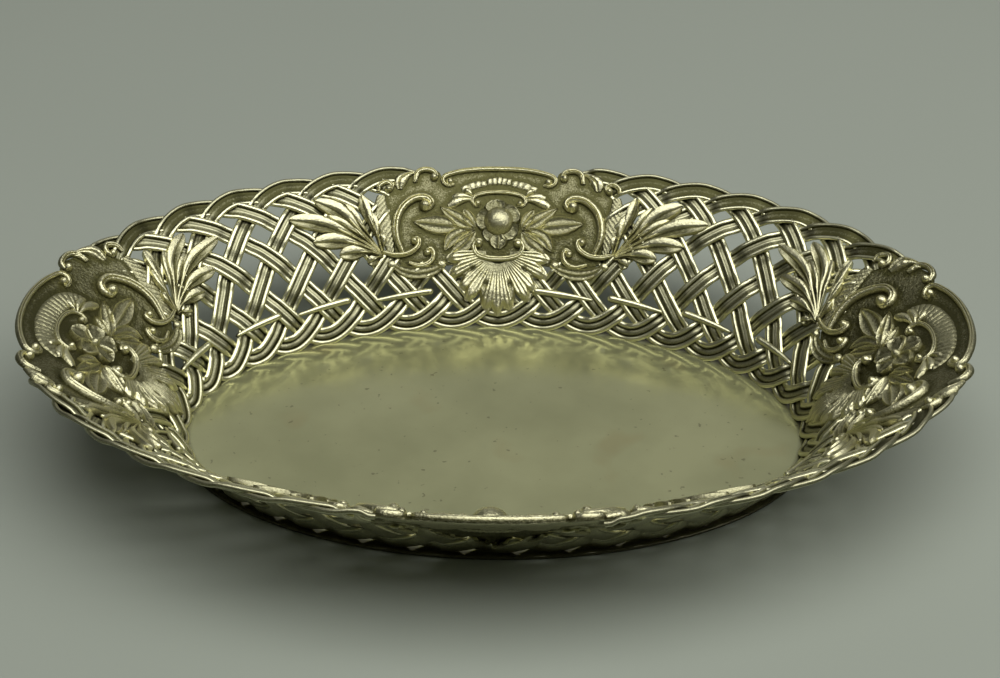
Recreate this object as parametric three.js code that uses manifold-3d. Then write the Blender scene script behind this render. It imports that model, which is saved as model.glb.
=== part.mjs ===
// Pierced oval bread basket in silver. Millimetres, +Z up.
// The origin is the centre of the underside. +X runs along the length.
// The wall is a flared surface between an oval foot line and an oval rim line.
// A place on it is (n, v, h): n counts strap pitches round the oval from the
// middle of the back, v climbs from foot line 0 to rim line 1, and h stands
// off the wall towards the inside of the basket.
import * as THREE from "three";
import Module from "manifold-3d";

// Overall sizes
const RIM_LENGTH = 315;
const RIM_WIDTH = 216;
const RIM_HEIGHT = 48;
const FOOT_LENGTH = 219;
const FOOT_WIDTH = 133;
const WALL_FLARE = 0.2;

// Floor plate
const FLOOR_THICKNESS = 1.2;
const FLOOR_LEDGE = 3;
const FLOOR_EDGE_ROUND = 0.3;

// Straps of the lattice
const PITCHES_PER_QUARTER = 10;
const RISE_IN_PITCHES = 4;
const STRAP_WIDTH = 7;
const STRAP_THICKNESS = 1.5;
const WEAVE_DEPTH = 0.45;
const BEND_STOPS = [-0.18, 0.18];
const WAVE_SHARPNESS = 0.64;
const WAVE_LOW = 0.015;
const WAVE_HIGH = 0.975;
const WAVE_LIFT = 0.06;
const WAVE_DRAW = 0.18;

// Cartouches, as pitches each side of their middle and as shares of wall height
const CARTOUCHE_ARC_AT_SIDE = 32.5;
const CARTOUCHE_ARC_AT_END = 36;
const CARTOUCHE_PITCHES = 1.5;
const CARTOUCHE_THICKNESS = 1.2;
const CARTOUCHE_BOTTOM = 0.36;
const SIDE_CREST = 1.0;
const END_CREST = 1.04;
const SCROLL_HALF = 1.06;
const LOBE_OUTER = 1.95;
const NOTCH_DEPTH = 0.06;
const SCROLL_RADIUS = 1.4;
const LEAF_HEIGHT = 1.4;
const BUD_RADIUS = 4.2;
const BUD_PLACE = 0.66;

// Shells under the cartouches; the tip laps over the foot braid
const SHELL_TIP = 0.045;
const SHELL_LAP = 0.16;
const SHELL_STEP = 0.05;
const SHELL_TIP_HALF = 0.14;
const SHELL_HALF = 1.15;
const SHELL_FLUTES = 5;
const FLUTE_DEPTH = 0.8;

// Leaf sprays
const SPRAY_THICKNESS = 1.4;

// Clearances between pieces that touch on the real basket
const CLEARANCE = 0.3;
const LAP_CLEARANCE = 0.4;

const SILVER = { color: 0xb9b49a, roughness: 0.34, metalness: 1 };

const wasm = await Module();
wasm.setup();

// The wall surface

const PITCHES = 4 * PITCHES_PER_QUARTER;
const FOOT_RISE = 1;
const FOOT_HEIGHT = FLOOR_THICKNESS + CLEARANCE + FOOT_RISE;

// Arc length of the rim's quarter oval against its angle, from the side middle.
const RIM_TABLE_STEPS = 400;
const rimTable = [0];
for (let i = 1; i <= RIM_TABLE_STEPS; i++) {
  const angle = ((i - 0.5) / RIM_TABLE_STEPS) * (Math.PI / 2);
  const speed = Math.hypot((RIM_LENGTH / 2) * Math.cos(angle), (RIM_WIDTH / 2) * Math.sin(angle));
  rimTable.push(rimTable[i - 1] + (speed * Math.PI) / 2 / RIM_TABLE_STEPS);
}

function rimAngleAtArc(arc) {
  let i = 1;
  while (i < RIM_TABLE_STEPS && rimTable[i] < arc) i++;
  const share = (arc - rimTable[i - 1]) / (rimTable[i] - rimTable[i - 1]);
  return ((i - 1 + share) / RIM_TABLE_STEPS) * (Math.PI / 2);
}

// The cartouches keep their own width of rim and the scallops share the rest evenly.
function rimAngle(n) {
  const quarter = Math.floor(n / PITCHES_PER_QUARTER);
  const odd = Math.abs(quarter) % 2 === 1;
  const inQuarter = n - quarter * PITCHES_PER_QUARTER;
  const fromSide = odd ? PITCHES_PER_QUARTER - inQuarter : inQuarter;
  const length = rimTable[RIM_TABLE_STEPS];
  const scallops = PITCHES_PER_QUARTER - 2 * CARTOUCHE_PITCHES;
  const pitch = (length - CARTOUCHE_ARC_AT_SIDE - CARTOUCHE_ARC_AT_END) / scallops;
  const fromEnd = PITCHES_PER_QUARTER - fromSide;
  let arc = CARTOUCHE_ARC_AT_SIDE + (fromSide - CARTOUCHE_PITCHES) * pitch;
  if (fromSide < CARTOUCHE_PITCHES) arc = (CARTOUCHE_ARC_AT_SIDE * fromSide) / CARTOUCHE_PITCHES;
  if (fromEnd < CARTOUCHE_PITCHES) arc = length - (CARTOUCHE_ARC_AT_END * fromEnd) / CARTOUCHE_PITCHES;
  const angle = rimAngleAtArc(arc);
  return odd ? ((quarter + 1) * Math.PI) / 2 - angle : (quarter * Math.PI) / 2 + angle;
}

function wallSkin(n, v) {
  const rim = rimAngle(n);
  const foot = (n / PITCHES) * 2 * Math.PI;
  const out = v - WALL_FLARE * v * (1 - v);
  const up = v + WALL_FLARE * v * (1 - v);
  return new THREE.Vector3(
    THREE.MathUtils.lerp((FOOT_LENGTH / 2) * Math.sin(foot), (RIM_LENGTH / 2) * Math.sin(rim), out),
    THREE.MathUtils.lerp((FOOT_WIDTH / 2) * Math.cos(foot), (RIM_WIDTH / 2) * Math.cos(rim), out),
    THREE.MathUtils.lerp(FOOT_HEIGHT, RIM_HEIGHT, up),
  );
}

// Unit directions along the wall, up the wall and off it towards the inside.
function wallFrame(n, v) {
  const step = 1e-3;
  const along = wallSkin(n + step, v).sub(wallSkin(n - step, v));
  const up = wallSkin(n, v + step).sub(wallSkin(n, v - step));
  const pitch = along.length() / (2 * step);
  const rise = up.length() / (2 * step);
  const off = new THREE.Vector3().crossVectors(along, up).normalize();
  return { along: along.normalize(), up: up.normalize(), off, pitch, rise };
}

function wall(n, v, h) {
  return wallSkin(n, v).addScaledVector(wallFrame(n, v).off, h);
}

// Closed meshes and solids

// A solid from points and triangles; the triangles are turned round if they face in.
function makeSolid(points, triangles) {
  let volume = 0;
  for (const [a, b, c] of triangles) {
    volume += new THREE.Vector3().crossVectors(points[b], points[c]).dot(points[a]);
  }
  const faces = volume < 0 ? triangles.map(([a, b, c]) => [a, c, b]) : triangles;
  const vertProperties = new Float32Array(points.flatMap((p) => [p.x, p.y, p.z]));
  const triVerts = new Uint32Array(faces.flat());
  return new wasm.Manifold(new wasm.Mesh({ numProp: 3, vertProperties, triVerts }));
}

// A skin through rings of equal count, with a fan over each end.
function loft(rings) {
  const points = rings.flat();
  const sides = rings[0].length;
  const triangles = [];
  for (let i = 0; i + 1 < rings.length; i++) {
    for (let j = 0; j < sides; j++) {
      const a = i * sides + j;
      const b = i * sides + ((j + 1) % sides);
      triangles.push([a, b, b + sides], [a, b + sides, a + sides]);
    }
  }
  const last = (rings.length - 1) * sides;
  for (let j = 1; j + 1 < sides; j++) {
    triangles.push([0, j + 1, j], [last, last + j, last + j + 1]);
  }
  return makeSolid(points, triangles);
}

// A slab between two skins; each skin is a function of s from 0 to 1 and of t,
// which takes the listed values.
function slab(front, back, columns, lines) {
  const rows = lines.length - 1;
  const points = [];
  for (const skin of [front, back]) {
    for (const t of lines) {
      for (let i = 0; i <= columns; i++) points.push(skin(i / columns, t));
    }
  }
  const width = columns + 1;
  const behind = width * (rows + 1);
  const triangles = [];
  for (let j = 0; j < rows; j++) {
    for (let i = 0; i < columns; i++) {
      const a = j * width + i;
      const c = a + width + 1;
      triangles.push([a, a + 1, c], [a, c, a + width]);
      triangles.push([a + behind, c + behind, a + 1 + behind], [a + behind, a + width + behind, c + behind]);
    }
  }
  const edge = [];
  for (let i = 0; i < columns; i++) edge.push(i);
  for (let j = 0; j < rows; j++) edge.push(j * width + columns);
  for (let i = columns; i > 0; i--) edge.push(rows * width + i);
  for (let j = rows; j > 0; j--) edge.push(j * width);
  edge.forEach((a, k) => {
    const b = edge[(k + 1) % edge.length];
    triangles.push([a, a + behind, b], [b, a + behind, b + behind]);
  });
  return makeSolid(points, triangles);
}

function solidOf(geometry, matrix = new THREE.Matrix4()) {
  const flat = geometry.index ? geometry.toNonIndexed() : geometry;
  const position = flat.getAttribute("position");
  const keys = new Map();
  const points = [];
  const corners = [];
  for (let i = 0; i < position.count; i++) {
    const p = new THREE.Vector3().fromBufferAttribute(position, i).applyMatrix4(matrix);
    const key = p.toArray().map((x) => Math.round(x * 1e4)).join();
    if (!keys.has(key)) {
      keys.set(key, points.length);
      points.push(p);
    }
    corners.push(keys.get(key));
  }
  const triangles = [];
  for (let i = 0; i < corners.length; i += 3) {
    const [a, b, c] = corners.slice(i, i + 3);
    if (a !== b && b !== c && c !== a) triangles.push([a, b, c]);
  }
  return makeSolid(points, triangles);
}

function box(min, max) {
  const size = max.map((x, i) => x - min[i]);
  const middle = max.map((x, i) => (x + min[i]) / 2);
  return solidOf(new THREE.BoxGeometry(...size), new THREE.Matrix4().makeTranslation(...middle));
}

function join(solids) {
  return solids.reduce((a, b) => a.add(b));
}

// The main body of a solid, without the cut-off strap ends of a few cubic millimetres.
function mainBody(solid) {
  const bodies = solid.decompose();
  return bodies.reduce((a, b) => (b.volume() > a.volume() ? b : a));
}

// The lattice

// Height of a strap's centre line, t pitches after its lowest point.
function waveHeight(t) {
  const swing = Math.asin(WAVE_SHARPNESS * Math.cos((Math.PI * t) / RISE_IN_PITCHES));
  const share = 0.5 - (0.5 * swing) / Math.asin(WAVE_SHARPNESS);
  return THREE.MathUtils.lerp(WAVE_LOW, WAVE_HIGH, share);
}

// The lattice is drawn a little towards the middles of the long sides and upwards.
function latticePlace(n, t) {
  const height = waveHeight(t);
  const bow = Math.sin(Math.PI * height);
  return [n - WAVE_DRAW * bow * Math.sin((Math.PI * n) / PITCHES_PER_QUARTER), height + WAVE_LIFT * bow];
}

// Unit direction of a strap that climbs with n (sense 1) or against it (sense -1).
const LOOK = 0.02;

function strapRun(n, t, sense) {
  const ahead = wall(...latticePlace(n + sense * LOOK, t + LOOK), 0);
  return ahead.sub(wall(...latticePlace(n - sense * LOOK, t - LOOK), 0)).normalize();
}

// Half a pitch apart lie the crossings, in levels 0 to LAST_LEVEL up the wall. Two
// straps cross in a column with four corners, listed right, top, left, bottom,
// and each corner has four heights: both straps' tops and both straps' backs.
const LAST_LEVEL = 2 * RISE_IN_PITCHES - 2;
const RIGHT = 0;
const TOP = 1;
const LEFT = 2;
const BOTTOM = 3;
const UPPER_TOP = WEAVE_DEPTH + STRAP_THICKNESS / 2;
const LOWER_TOP = STRAP_THICKNESS / 2 - WEAVE_DEPTH;
const COLUMN_HEIGHTS = [UPPER_TOP, LOWER_TOP, -LOWER_TOP, -UPPER_TOP];

function crossingCorners(n, level) {
  const t = (level + 1) / 2;
  const place = latticePlace(n, t);
  const off = wallFrame(...place).off;
  const rising = strapRun(n, t, 1);
  const falling = strapRun(n, t, -1);
  const slant = STRAP_WIDTH / 2 / rising.clone().cross(falling).length();
  const middle = wall(...place, 0);
  return [[1, -1], [1, 1], [-1, 1], [-1, -1]].map(([r, f]) => COLUMN_HEIGHTS.map((h) =>
    middle.clone()
      .addScaledVector(rising, r * slant)
      .addScaledVector(falling, f * slant)
      .addScaledVector(off, h)));
}

// The woven wall from one pitch to another, as one skin. Rising straps go over at
// even levels and under at odd ones. At foot and rim a strap bends round into the next.
function lattice(from, to) {
  const points = [];
  const triangles = [];
  const quad = (a, b, c, d) => triangles.push([a, b, c], [a, c, d]);
  const crossings = new Map();
  for (let level = 0; level <= LAST_LEVEL; level++) {
    const start = Math.ceil(from - (level + 1) / 2) + (level + 1) / 2;
    for (let n = start; n <= to; n++) {
      crossings.set(n + "," + level, points.length);
      points.push(...crossingCorners(n, level).flat());
    }
  }

  // Six points round a strap's end on a column: down its first corner, up its second.
  const stub = (column, first, second, over) => {
    const a = column + 4 * first + (over ? 0 : 1);
    const b = column + 4 * second + (over ? 0 : 1);
    return [a, a + 1, a + 2, b + 2, b + 1, b];
  };
  const span = (near, far) => {
    for (let i = 0; i < 6; i++) {
      const j = (i + 1) % 6;
      quad(near[i], near[j], far[j], far[i]);
    }
  };
  // From six points to four and back: the middle points close on the edge beside them.
  const narrow = (six, four) => {
    quad(six[2], six[3], four[2], four[1]);
    quad(six[5], six[0], four[0], four[3]);
    triangles.push([six[0], six[1], four[0]], [six[1], four[1], four[0]], [six[1], six[2], four[1]]);
    triangles.push([six[3], six[4], four[2]], [six[4], four[3], four[2]], [six[4], six[5], four[3]]);
  };
  const reversed = (ring) => ring.toReversed();

  // A bend at the foot (turn 1) or the rim (turn -1) between two columns.
  const bend = (near, far, middle, turn) => {
    const rings = BEND_STOPS.map((share) => {
      const t = turn > 0 ? Math.abs(share) : RISE_IN_PITCHES - Math.abs(share);
      const n = middle + share;
      const place = latticePlace(n, t);
      const off = wallFrame(...place).off;
      const sense = turn * Math.sign(share);
      const run = strapRun(n, t, sense).multiplyScalar(sense);
      const up = new THREE.Vector3().crossVectors(off, run).normalize();
      const lift = turn * WEAVE_DEPTH * Math.sin(Math.PI * share);
      const first = points.length;
      for (const [x, y] of [[-1, 1], [-1, -1], [1, -1], [1, 1]]) {
        const height = lift + (y * STRAP_THICKNESS) / 2;
        points.push(wall(...place, height).addScaledVector(up, (x * STRAP_WIDTH) / 2));
      }
      return [first, first + 1, first + 2, first + 3];
    });
    narrow(near, rings[0]);
    for (let i = 0; i + 1 < rings.length; i++) {
      for (let j = 0; j < 4; j++) {
        const k = (j + 1) % 4;
        quad(rings[i][j], rings[i][k], rings[i + 1][k], rings[i + 1][j]);
      }
    }
    narrow(reversed(far), reversed(rings[rings.length - 1]));
  };

  for (const [key, column] of crossings) {
    const [n, level] = key.split(",").map(Number);
    const risingOver = level % 2 === 0;
    const at = (dn, rise) => crossings.get(n + dn + "," + (level + rise));
    quad(column, column + 4, column + 8, column + 12);
    quad(column + 15, column + 11, column + 7, column + 3);

    const up = at(0.5, 1);
    const back = at(-0.5, 1);
    const before = at(-0.5, -1);
    const after = at(0.5, -1);
    const next = at(1, 0);
    const last = at(-1, 0);
    if (up !== undefined) {
      span(stub(column, RIGHT, TOP, risingOver), stub(up, BOTTOM, LEFT, !risingOver));
    }
    if (back !== undefined) {
      span(stub(column, TOP, LEFT, !risingOver), stub(back, RIGHT, BOTTOM, risingOver));
    }
    if (level === 0 && next !== undefined) {
      bend(stub(column, BOTTOM, RIGHT, false), stub(next, BOTTOM, LEFT, true), n + 0.5, 1);
    }
    if (level === LAST_LEVEL && next !== undefined) {
      bend(stub(column, RIGHT, TOP, true), stub(next, LEFT, TOP, false), n + 0.5, -1);
    }
    const sides = [
      [RIGHT, TOP, risingOver, level < LAST_LEVEL ? up : next],
      [TOP, LEFT, !risingOver, level < LAST_LEVEL ? back : last],
      [LEFT, BOTTOM, risingOver, level > 0 ? before : last],
      [BOTTOM, RIGHT, !risingOver, level > 0 ? after : next],
    ];
    for (const [first, second, over, neighbour] of sides) {
      const a = column + 4 * first;
      const b = column + 4 * second;
      const open = neighbour === undefined ? [0, 1, 2] : [over ? 2 : 0];
      for (const k of open) quad(a + k, a + k + 1, b + k + 1, b + k);
    }
  }
  return makeSolid(points, triangles);
}

// Cartouche outline

// Half width in pitches at a share of the height, foot of the cartouche 0, top 1.
const CARTOUCHE_SIDE = [
  [0, 1.25],
  [0.14, 2.1],
  [0.45, 2.1],
  [0.8, 2.25],
  [1, LOBE_OUTER],
];

function sideAt(t) {
  const next = Math.max(1, CARTOUCHE_SIDE.findIndex(([share]) => share >= Math.min(t, 1)));
  const [t0, p0] = CARTOUCHE_SIDE[next - 1];
  const [t1, p1] = CARTOUCHE_SIDE[next];
  return THREE.MathUtils.lerp(p0, p1, (Math.min(t, 1) - t0) / (t1 - t0));
}

// Top edge, p pitches from the middle: one scroll between two lobes.
function cartoucheTop(p, crest) {
  const q = Math.abs(p);
  const notch = crest - NOTCH_DEPTH;
  if (q < SCROLL_HALF) return notch + NOTCH_DEPTH * Math.sqrt(1 - (q / SCROLL_HALF) ** 2);
  const lobe = Math.min(1, (q - SCROLL_HALF) / (LOBE_OUTER - SCROLL_HALF));
  return notch - (NOTCH_DEPTH * lobe) / 2 + NOTCH_DEPTH * Math.sin(Math.PI * Math.sqrt(lobe));
}

// A place (n, v) moved along and up the wall by lengths in millimetres.
function moved([n, v], along, up) {
  const frame = wallFrame(n, v);
  return [n + along / frame.pitch, v + up / frame.rise];
}

function cartouchePlace({ middle, crest }, s, t, margin) {
  const p = (2 * s - 1) * sideAt(t);
  const place = [middle + p, THREE.MathUtils.lerp(CARTOUCHE_BOTTOM, cartoucheTop(p, crest), t)];
  return moved(place, (2 * s - 1) * margin, (2 * t - 1) * margin);
}

const CARTOUCHE_COLUMNS = 8;
const CARTOUCHE_LINES = CARTOUCHE_SIDE.map(([t]) => t);

// The opening for a cartouche goes through the lattice and past its rim.
const CUT_REACH = 5;
const PAST_RIM = 1.2;

function cartoucheCutter(place) {
  const skin = (h) => (s, t) => wall(...cartouchePlace(place, s, t, CLEARANCE), h);
  return slab(skin(CUT_REACH), skin(-CUT_REACH), CARTOUCHE_COLUMNS, [...CARTOUCHE_LINES, PAST_RIM]);
}

// Scrollwork

// Rings of a section along a curve on the wall; places are (p, v) from the middle.
// The section is a function of the share of the length and gives (aside, off) pairs.
function wallLoft(middle, places, shares, lift, section) {
  const curve = new THREE.CatmullRomCurve3(places.map(([p, v]) => new THREE.Vector3(p, v, 0)));
  const at = (share) => {
    const place = curve.getPoint(THREE.MathUtils.clamp(share, 0, 1));
    return [middle + place.x, place.y];
  };
  const rings = shares.map((share) => {
    const centre = wall(...at(share), lift);
    const run = wall(...at(share + LOOK), lift).sub(wall(...at(share - LOOK), lift)).normalize();
    const off = wallFrame(...at(share)).off;
    const side = new THREE.Vector3().crossVectors(off, run).normalize();
    return section(share).map(([x, y]) => centre.clone().addScaledVector(side, x).addScaledVector(off, y));
  });
  return loft(rings);
}

// A raised moulding that tapers to both ends.
function moulding(middle, places, radius, lift) {
  const steps = places.length;
  const shares = Array.from({ length: steps + 1 }, (_, i) => i / steps);
  return wallLoft(middle, places, shares, lift, (share) => {
    const r = radius * (0.6 + 0.4 * Math.sin(Math.PI * share));
    return [[-r, -r / 2], [r, -r / 2], [r / 2, r], [-r / 2, r]];
  });
}

// A ridged leaf from root to tip, as shares of its length and of its half width.
const LEAF_SHAPE = new Map([[0, 0.4], [0.45, 1], [1, 0.12]]);
const LEAF_EDGE = 0.3;
const LEAF_END_RIDGE = 0.55;

function leaf(middle, root, tip, halfWidth, lift, height) {
  return wallLoft(middle, [root, tip], [...LEAF_SHAPE.keys()], lift, (share) => {
    const w = LEAF_SHAPE.get(share) * halfWidth;
    const edge = LEAF_EDGE * height;
    const ridge = height * THREE.MathUtils.lerp(LEAF_END_RIDGE, 1, Math.sin(Math.PI * share));
    return [[-w, edge], [0, 0], [w, edge], [0, ridge]];
  });
}

const mirror = (places) => places.map(([p, v]) => [-p, v]);

// Centre lines of the scrolls as (p, v). The top scroll counts v down from the crest.
const TOP_SCROLL = [[-0.8, -0.1], [-1, -0.055], [-0.55, -0.02], [0.55, -0.02], [1, -0.055], [0.8, -0.1]];
const FLANK_SCROLL = [[1.36, 0.745], [1.55, 0.82], [1.92, 0.78], [2.0, 0.66], [1.86, 0.48]];
const CUP_SCROLL = [[-0.55, 0.52], [-0.4, 0.42], [0, 0.387], [0.4, 0.42], [0.55, 0.52]];
const INNER_SCROLL = [[-0.5, 0.78], [-0.25, 0.82], [0.25, 0.82], [0.5, 0.78]];
const LEAVES = [
  [[0.15, 0.7], [1.2, 0.76]],
  [[0.17, 0.655], [1.62, 0.65]],
  [[0.12, 0.61], [1.1, 0.45]],
];
const LEAF_HALF = 3.3;

function cartouche(place) {
  const { middle, crest } = place;
  const half = CARTOUCHE_THICKNESS / 2;
  const skin = (h) => (s, t) => wall(...cartouchePlace(place, s, t, 0), h);
  const dome = [[0, 0], [BUD_RADIUS, 0], [BUD_RADIUS * 0.8, BUD_RADIUS * 0.6], [0, BUD_RADIUS]];
  const bud = new THREE.LatheGeometry(dome.map(([x, y]) => new THREE.Vector2(x, y)), 9);
  const frame = wallFrame(middle, BUD_PLACE);
  const seat = new THREE.Matrix4().makeBasis(frame.along, frame.off, frame.up.clone().negate());
  seat.setPosition(wall(middle, BUD_PLACE, 0));
  const top = TOP_SCROLL.map(([p, v]) => [p, crest + v]);
  const parts = [
    slab(skin(half), skin(-half), CARTOUCHE_COLUMNS, CARTOUCHE_LINES),
    moulding(middle, top, SCROLL_RADIUS, half),
    moulding(middle, FLANK_SCROLL, SCROLL_RADIUS, half),
    moulding(middle, mirror(FLANK_SCROLL), SCROLL_RADIUS, half),
    moulding(middle, CUP_SCROLL, SCROLL_RADIUS, half),
    moulding(middle, INNER_SCROLL, SCROLL_RADIUS, half),
    solidOf(bud, seat),
  ];
  for (const ends of [...LEAVES, ...LEAVES.map(mirror)]) {
    parts.push(leaf(middle, ...ends, LEAF_HALF, 0, LEAF_HEIGHT + half));
  }
  return join(parts);
}

// Shells

const LAP_HEIGHT = UPPER_TOP + LAP_CLEARANCE;
const SHELL_TOP = CARTOUCHE_BOTTOM - CLEARANCE / wallFrame(0, CARTOUCHE_BOTTOM).rise;
const SHELL_LINES = [SHELL_TIP, (SHELL_TIP + SHELL_LAP) / 2, SHELL_LAP, SHELL_LAP + SHELL_STEP, SHELL_TOP];

function shellPlace(middle, s, v, margin) {
  const share = (Math.min(v, SHELL_TOP) - SHELL_TIP) / (SHELL_TOP - SHELL_TIP);
  const half = THREE.MathUtils.lerp(SHELL_TIP_HALF, SHELL_HALF, Math.sin((share * Math.PI) / 2));
  return moved([middle + (2 * s - 1) * half, v], (2 * s - 1) * margin, 0);
}

function shell(middle) {
  const half = CARTOUCHE_THICKNESS / 2;
  const skin = (thickness) => (s, v) => {
    const lap = v > SHELL_LAP ? 0 : LAP_HEIGHT + half;
    return wall(...shellPlace(middle, s, v, 0), lap + thickness(s, v));
  };
  const flute = (s) => FLUTE_DEPTH * Math.abs(Math.sin(Math.PI * s * SHELL_FLUTES));
  const fluted = (s, v) => half + (flute(s) * v) / SHELL_TOP;
  const flat = () => -half;
  return slab(skin(fluted), skin(flat), SHELL_FLUTES * 2, SHELL_LINES);
}

// The opening in the lattice above the lapped tip of a shell.
function shellCutter(middle) {
  const lines = [...SHELL_LINES.filter((v) => v >= SHELL_LAP), CARTOUCHE_BOTTOM];
  const skin = (h) => (s, v) => wall(...shellPlace(middle, s, v, CLEARANCE), h);
  return slab(skin(CUT_REACH), skin(-CUT_REACH), SHELL_FLUTES * 2, lines);
}

// Leaf sprays

const SPRAY_LEAVES = [
  { root: [2.42, 0.44], tip: [2.66, 0.83], half: 2.4 },
  { root: [2.5, 0.46], tip: [3.5, 0.83], half: 3.6 },
  { root: [2.5, 0.46], tip: [4.15, 0.755], half: 3.6 },
  { root: [2.5, 0.45], tip: [3.85, 0.59], half: 3.2 },
  { root: [2.45, 0.44], tip: [3.3, 0.47], half: 2.4 },
];

function spray(middle, side) {
  const turn = ([p, v]) => [side * p, v];
  const leaves = SPRAY_LEAVES.map(({ root, tip, half }) =>
    leaf(middle, turn(root), turn(tip), half, LAP_HEIGHT, SPRAY_THICKNESS));
  return join(leaves);
}

// Floor plate

function floorPlate() {
  const oval = new THREE.Shape();
  const edge = FLOOR_EDGE_ROUND;
  const ledge = FLOOR_LEDGE - edge;
  oval.absellipse(0, 0, FOOT_LENGTH / 2 + ledge, FOOT_WIDTH / 2 + ledge, 0, 2 * Math.PI);
  const geometry = new THREE.ExtrudeGeometry(oval, {
    depth: FLOOR_THICKNESS - 2 * edge,
    curveSegments: 24,
    bevelThickness: edge,
    bevelSize: edge,
    bevelSegments: 1,
  });
  return solidOf(geometry, new THREE.Matrix4().makeTranslation(0, 0, edge));
}

// Assembly

const basket = new THREE.Group();
basket.name = "pierced_silver_basket";

function addPiece(name, solid) {
  const mesh = solid.getMesh();
  const geometry = new THREE.BufferGeometry();
  geometry.setAttribute("position", new THREE.BufferAttribute(mesh.vertProperties, 3));
  geometry.setIndex(new THREE.BufferAttribute(mesh.triVerts, 1));
  const piece = new THREE.Mesh(geometry, new THREE.MeshStandardMaterial(SILVER));
  piece.name = name;
  basket.add(piece);
}

const CARTOUCHES = [
  { name: "back", middle: 0, crest: SIDE_CREST },
  { name: "right", middle: PITCHES_PER_QUARTER, crest: END_CREST },
  { name: "front", middle: 2 * PITCHES_PER_QUARTER, crest: SIDE_CREST },
  { name: "left", middle: 3 * PITCHES_PER_QUARTER, crest: END_CREST },
];
const QUARTERS = [
  ["back_right", 0, 1, 1],
  ["front_right", 1, 1, -1],
  ["front_left", 2, -1, -1],
  ["back_left", 3, -1, 1],
];

addPiece("floor_plate", floorPlate());

for (const [name, quarter, x, y] of QUARTERS) {
  const from = quarter * PITCHES_PER_QUARTER - 0.5;
  const to = from + PITCHES_PER_QUARTER + 1;
  const seam = CLEARANCE / 2;
  const reach = RIM_LENGTH;
  const floorTop = FLOOR_THICKNESS + CLEARANCE;
  const corner = [x > 0 ? seam : -reach, y > 0 ? seam : -reach, floorTop];
  const across = [x > 0 ? reach : -seam, y > 0 ? reach : -seam, 2 * RIM_HEIGHT];
  let panel = lattice(from, to).intersect(box(corner, across));
  for (const place of [CARTOUCHES[quarter], CARTOUCHES[(quarter + 1) % CARTOUCHES.length]]) {
    panel = panel.subtract(cartoucheCutter(place));
    panel = panel.subtract(shellCutter(place.middle));
  }
  addPiece("lattice_panel_" + name, mainBody(panel));
}

for (const place of CARTOUCHES) {
  addPiece("cartouche_" + place.name, cartouche(place));
  addPiece("shell_" + place.name, shell(place.middle));
  addPiece("leaf_spray_" + place.name + "_a", spray(place.middle, -1));
  addPiece("leaf_spray_" + place.name + "_b", spray(place.middle, 1));
}

export default basket;
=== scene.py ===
"""A pierced silver basket.

Its wall is woven of reeded straps and carries four relief cartouches, four fluted shells and eight
leaf sprays. It stands on a polished oval floor.
"""

import math

import bpy
import numpy as np
from mathutils import Matrix


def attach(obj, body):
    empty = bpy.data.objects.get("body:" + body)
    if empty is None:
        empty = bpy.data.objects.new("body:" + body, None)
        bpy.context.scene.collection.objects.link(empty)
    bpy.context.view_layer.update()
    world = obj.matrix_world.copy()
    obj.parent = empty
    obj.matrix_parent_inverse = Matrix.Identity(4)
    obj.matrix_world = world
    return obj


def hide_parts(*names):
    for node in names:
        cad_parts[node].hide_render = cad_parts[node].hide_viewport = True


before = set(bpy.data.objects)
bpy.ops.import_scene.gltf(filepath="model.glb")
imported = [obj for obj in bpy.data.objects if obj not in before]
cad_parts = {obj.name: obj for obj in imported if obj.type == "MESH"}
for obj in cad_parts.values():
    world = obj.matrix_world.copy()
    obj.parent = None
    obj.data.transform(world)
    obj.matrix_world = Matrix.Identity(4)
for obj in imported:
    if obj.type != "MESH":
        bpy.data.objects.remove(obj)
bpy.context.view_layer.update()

MM = 0.001

# the wall, in millimetres: an oval foot and a wider oval rim, forty weave pitches round
RIM_HALF = (157.5, 108.0)
FOOT_HALF = (109.5, 66.5)
RIM_HEIGHT = 48.0
FOOT_HEIGHT = 2.5
WALL_FLARE = 0.2
PITCHES = 40
QUARTER = 10

# the rim's running length from the middle of a cartouche to this many pitches away
CARTOUCHE_PITCHES = 1.5
ARC_AT_SIDE = 32.5
ARC_AT_END = 36.0
RIM_TABLE_STEPS = 2000

# the short step on the wall over which a slope is measured, and the least length of a vector
LOOK = 0.002
TINY = 1e-12

# the weave: eight straps, each rising four pitches and falling four
STRANDS = 8
RISE = 4
WAVE_SHARPNESS = 0.64
WAVE_LOW = 0.015
WAVE_SPAN = 0.96
WAVE_LIFT = 0.06
WAVE_DRAW = 0.18
WEAVE_DEPTH = 0.6
WEAVE_SNAP = 2.6

# the cartouche outline: share of its height against half width in pitches
CARTOUCHE_SIDE = ((0.0, 1.95), (0.1, 2.15), (0.45, 2.1), (0.8, 2.25), (1.0, 1.95))
CARTOUCHE_BOTTOM = 0.36
SCROLL_HALF = 1.06
LOBE_OUTER = 1.95
NOTCH_DEPTH = 0.06
LOBE_SINK = 0.03
LOBE_RISE = 0.06
SIDE_CREST = 1.0
END_CREST = 1.04


def rim_table():
    """Angle against running length on the rim oval, by adding up short straight steps.

    The table runs from the middle of a long side to the end of the oval.
    """
    angle = np.linspace(0.0, math.pi / 2, RIM_TABLE_STEPS)
    x = RIM_HALF[0] * np.sin(angle)
    y = RIM_HALF[1] * np.cos(angle)
    step = np.hypot(np.diff(x), np.diff(y))
    return angle, np.concatenate([[0.0], np.cumsum(step)])


RIM_ANGLES, RIM_ARCS = rim_table()


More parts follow.
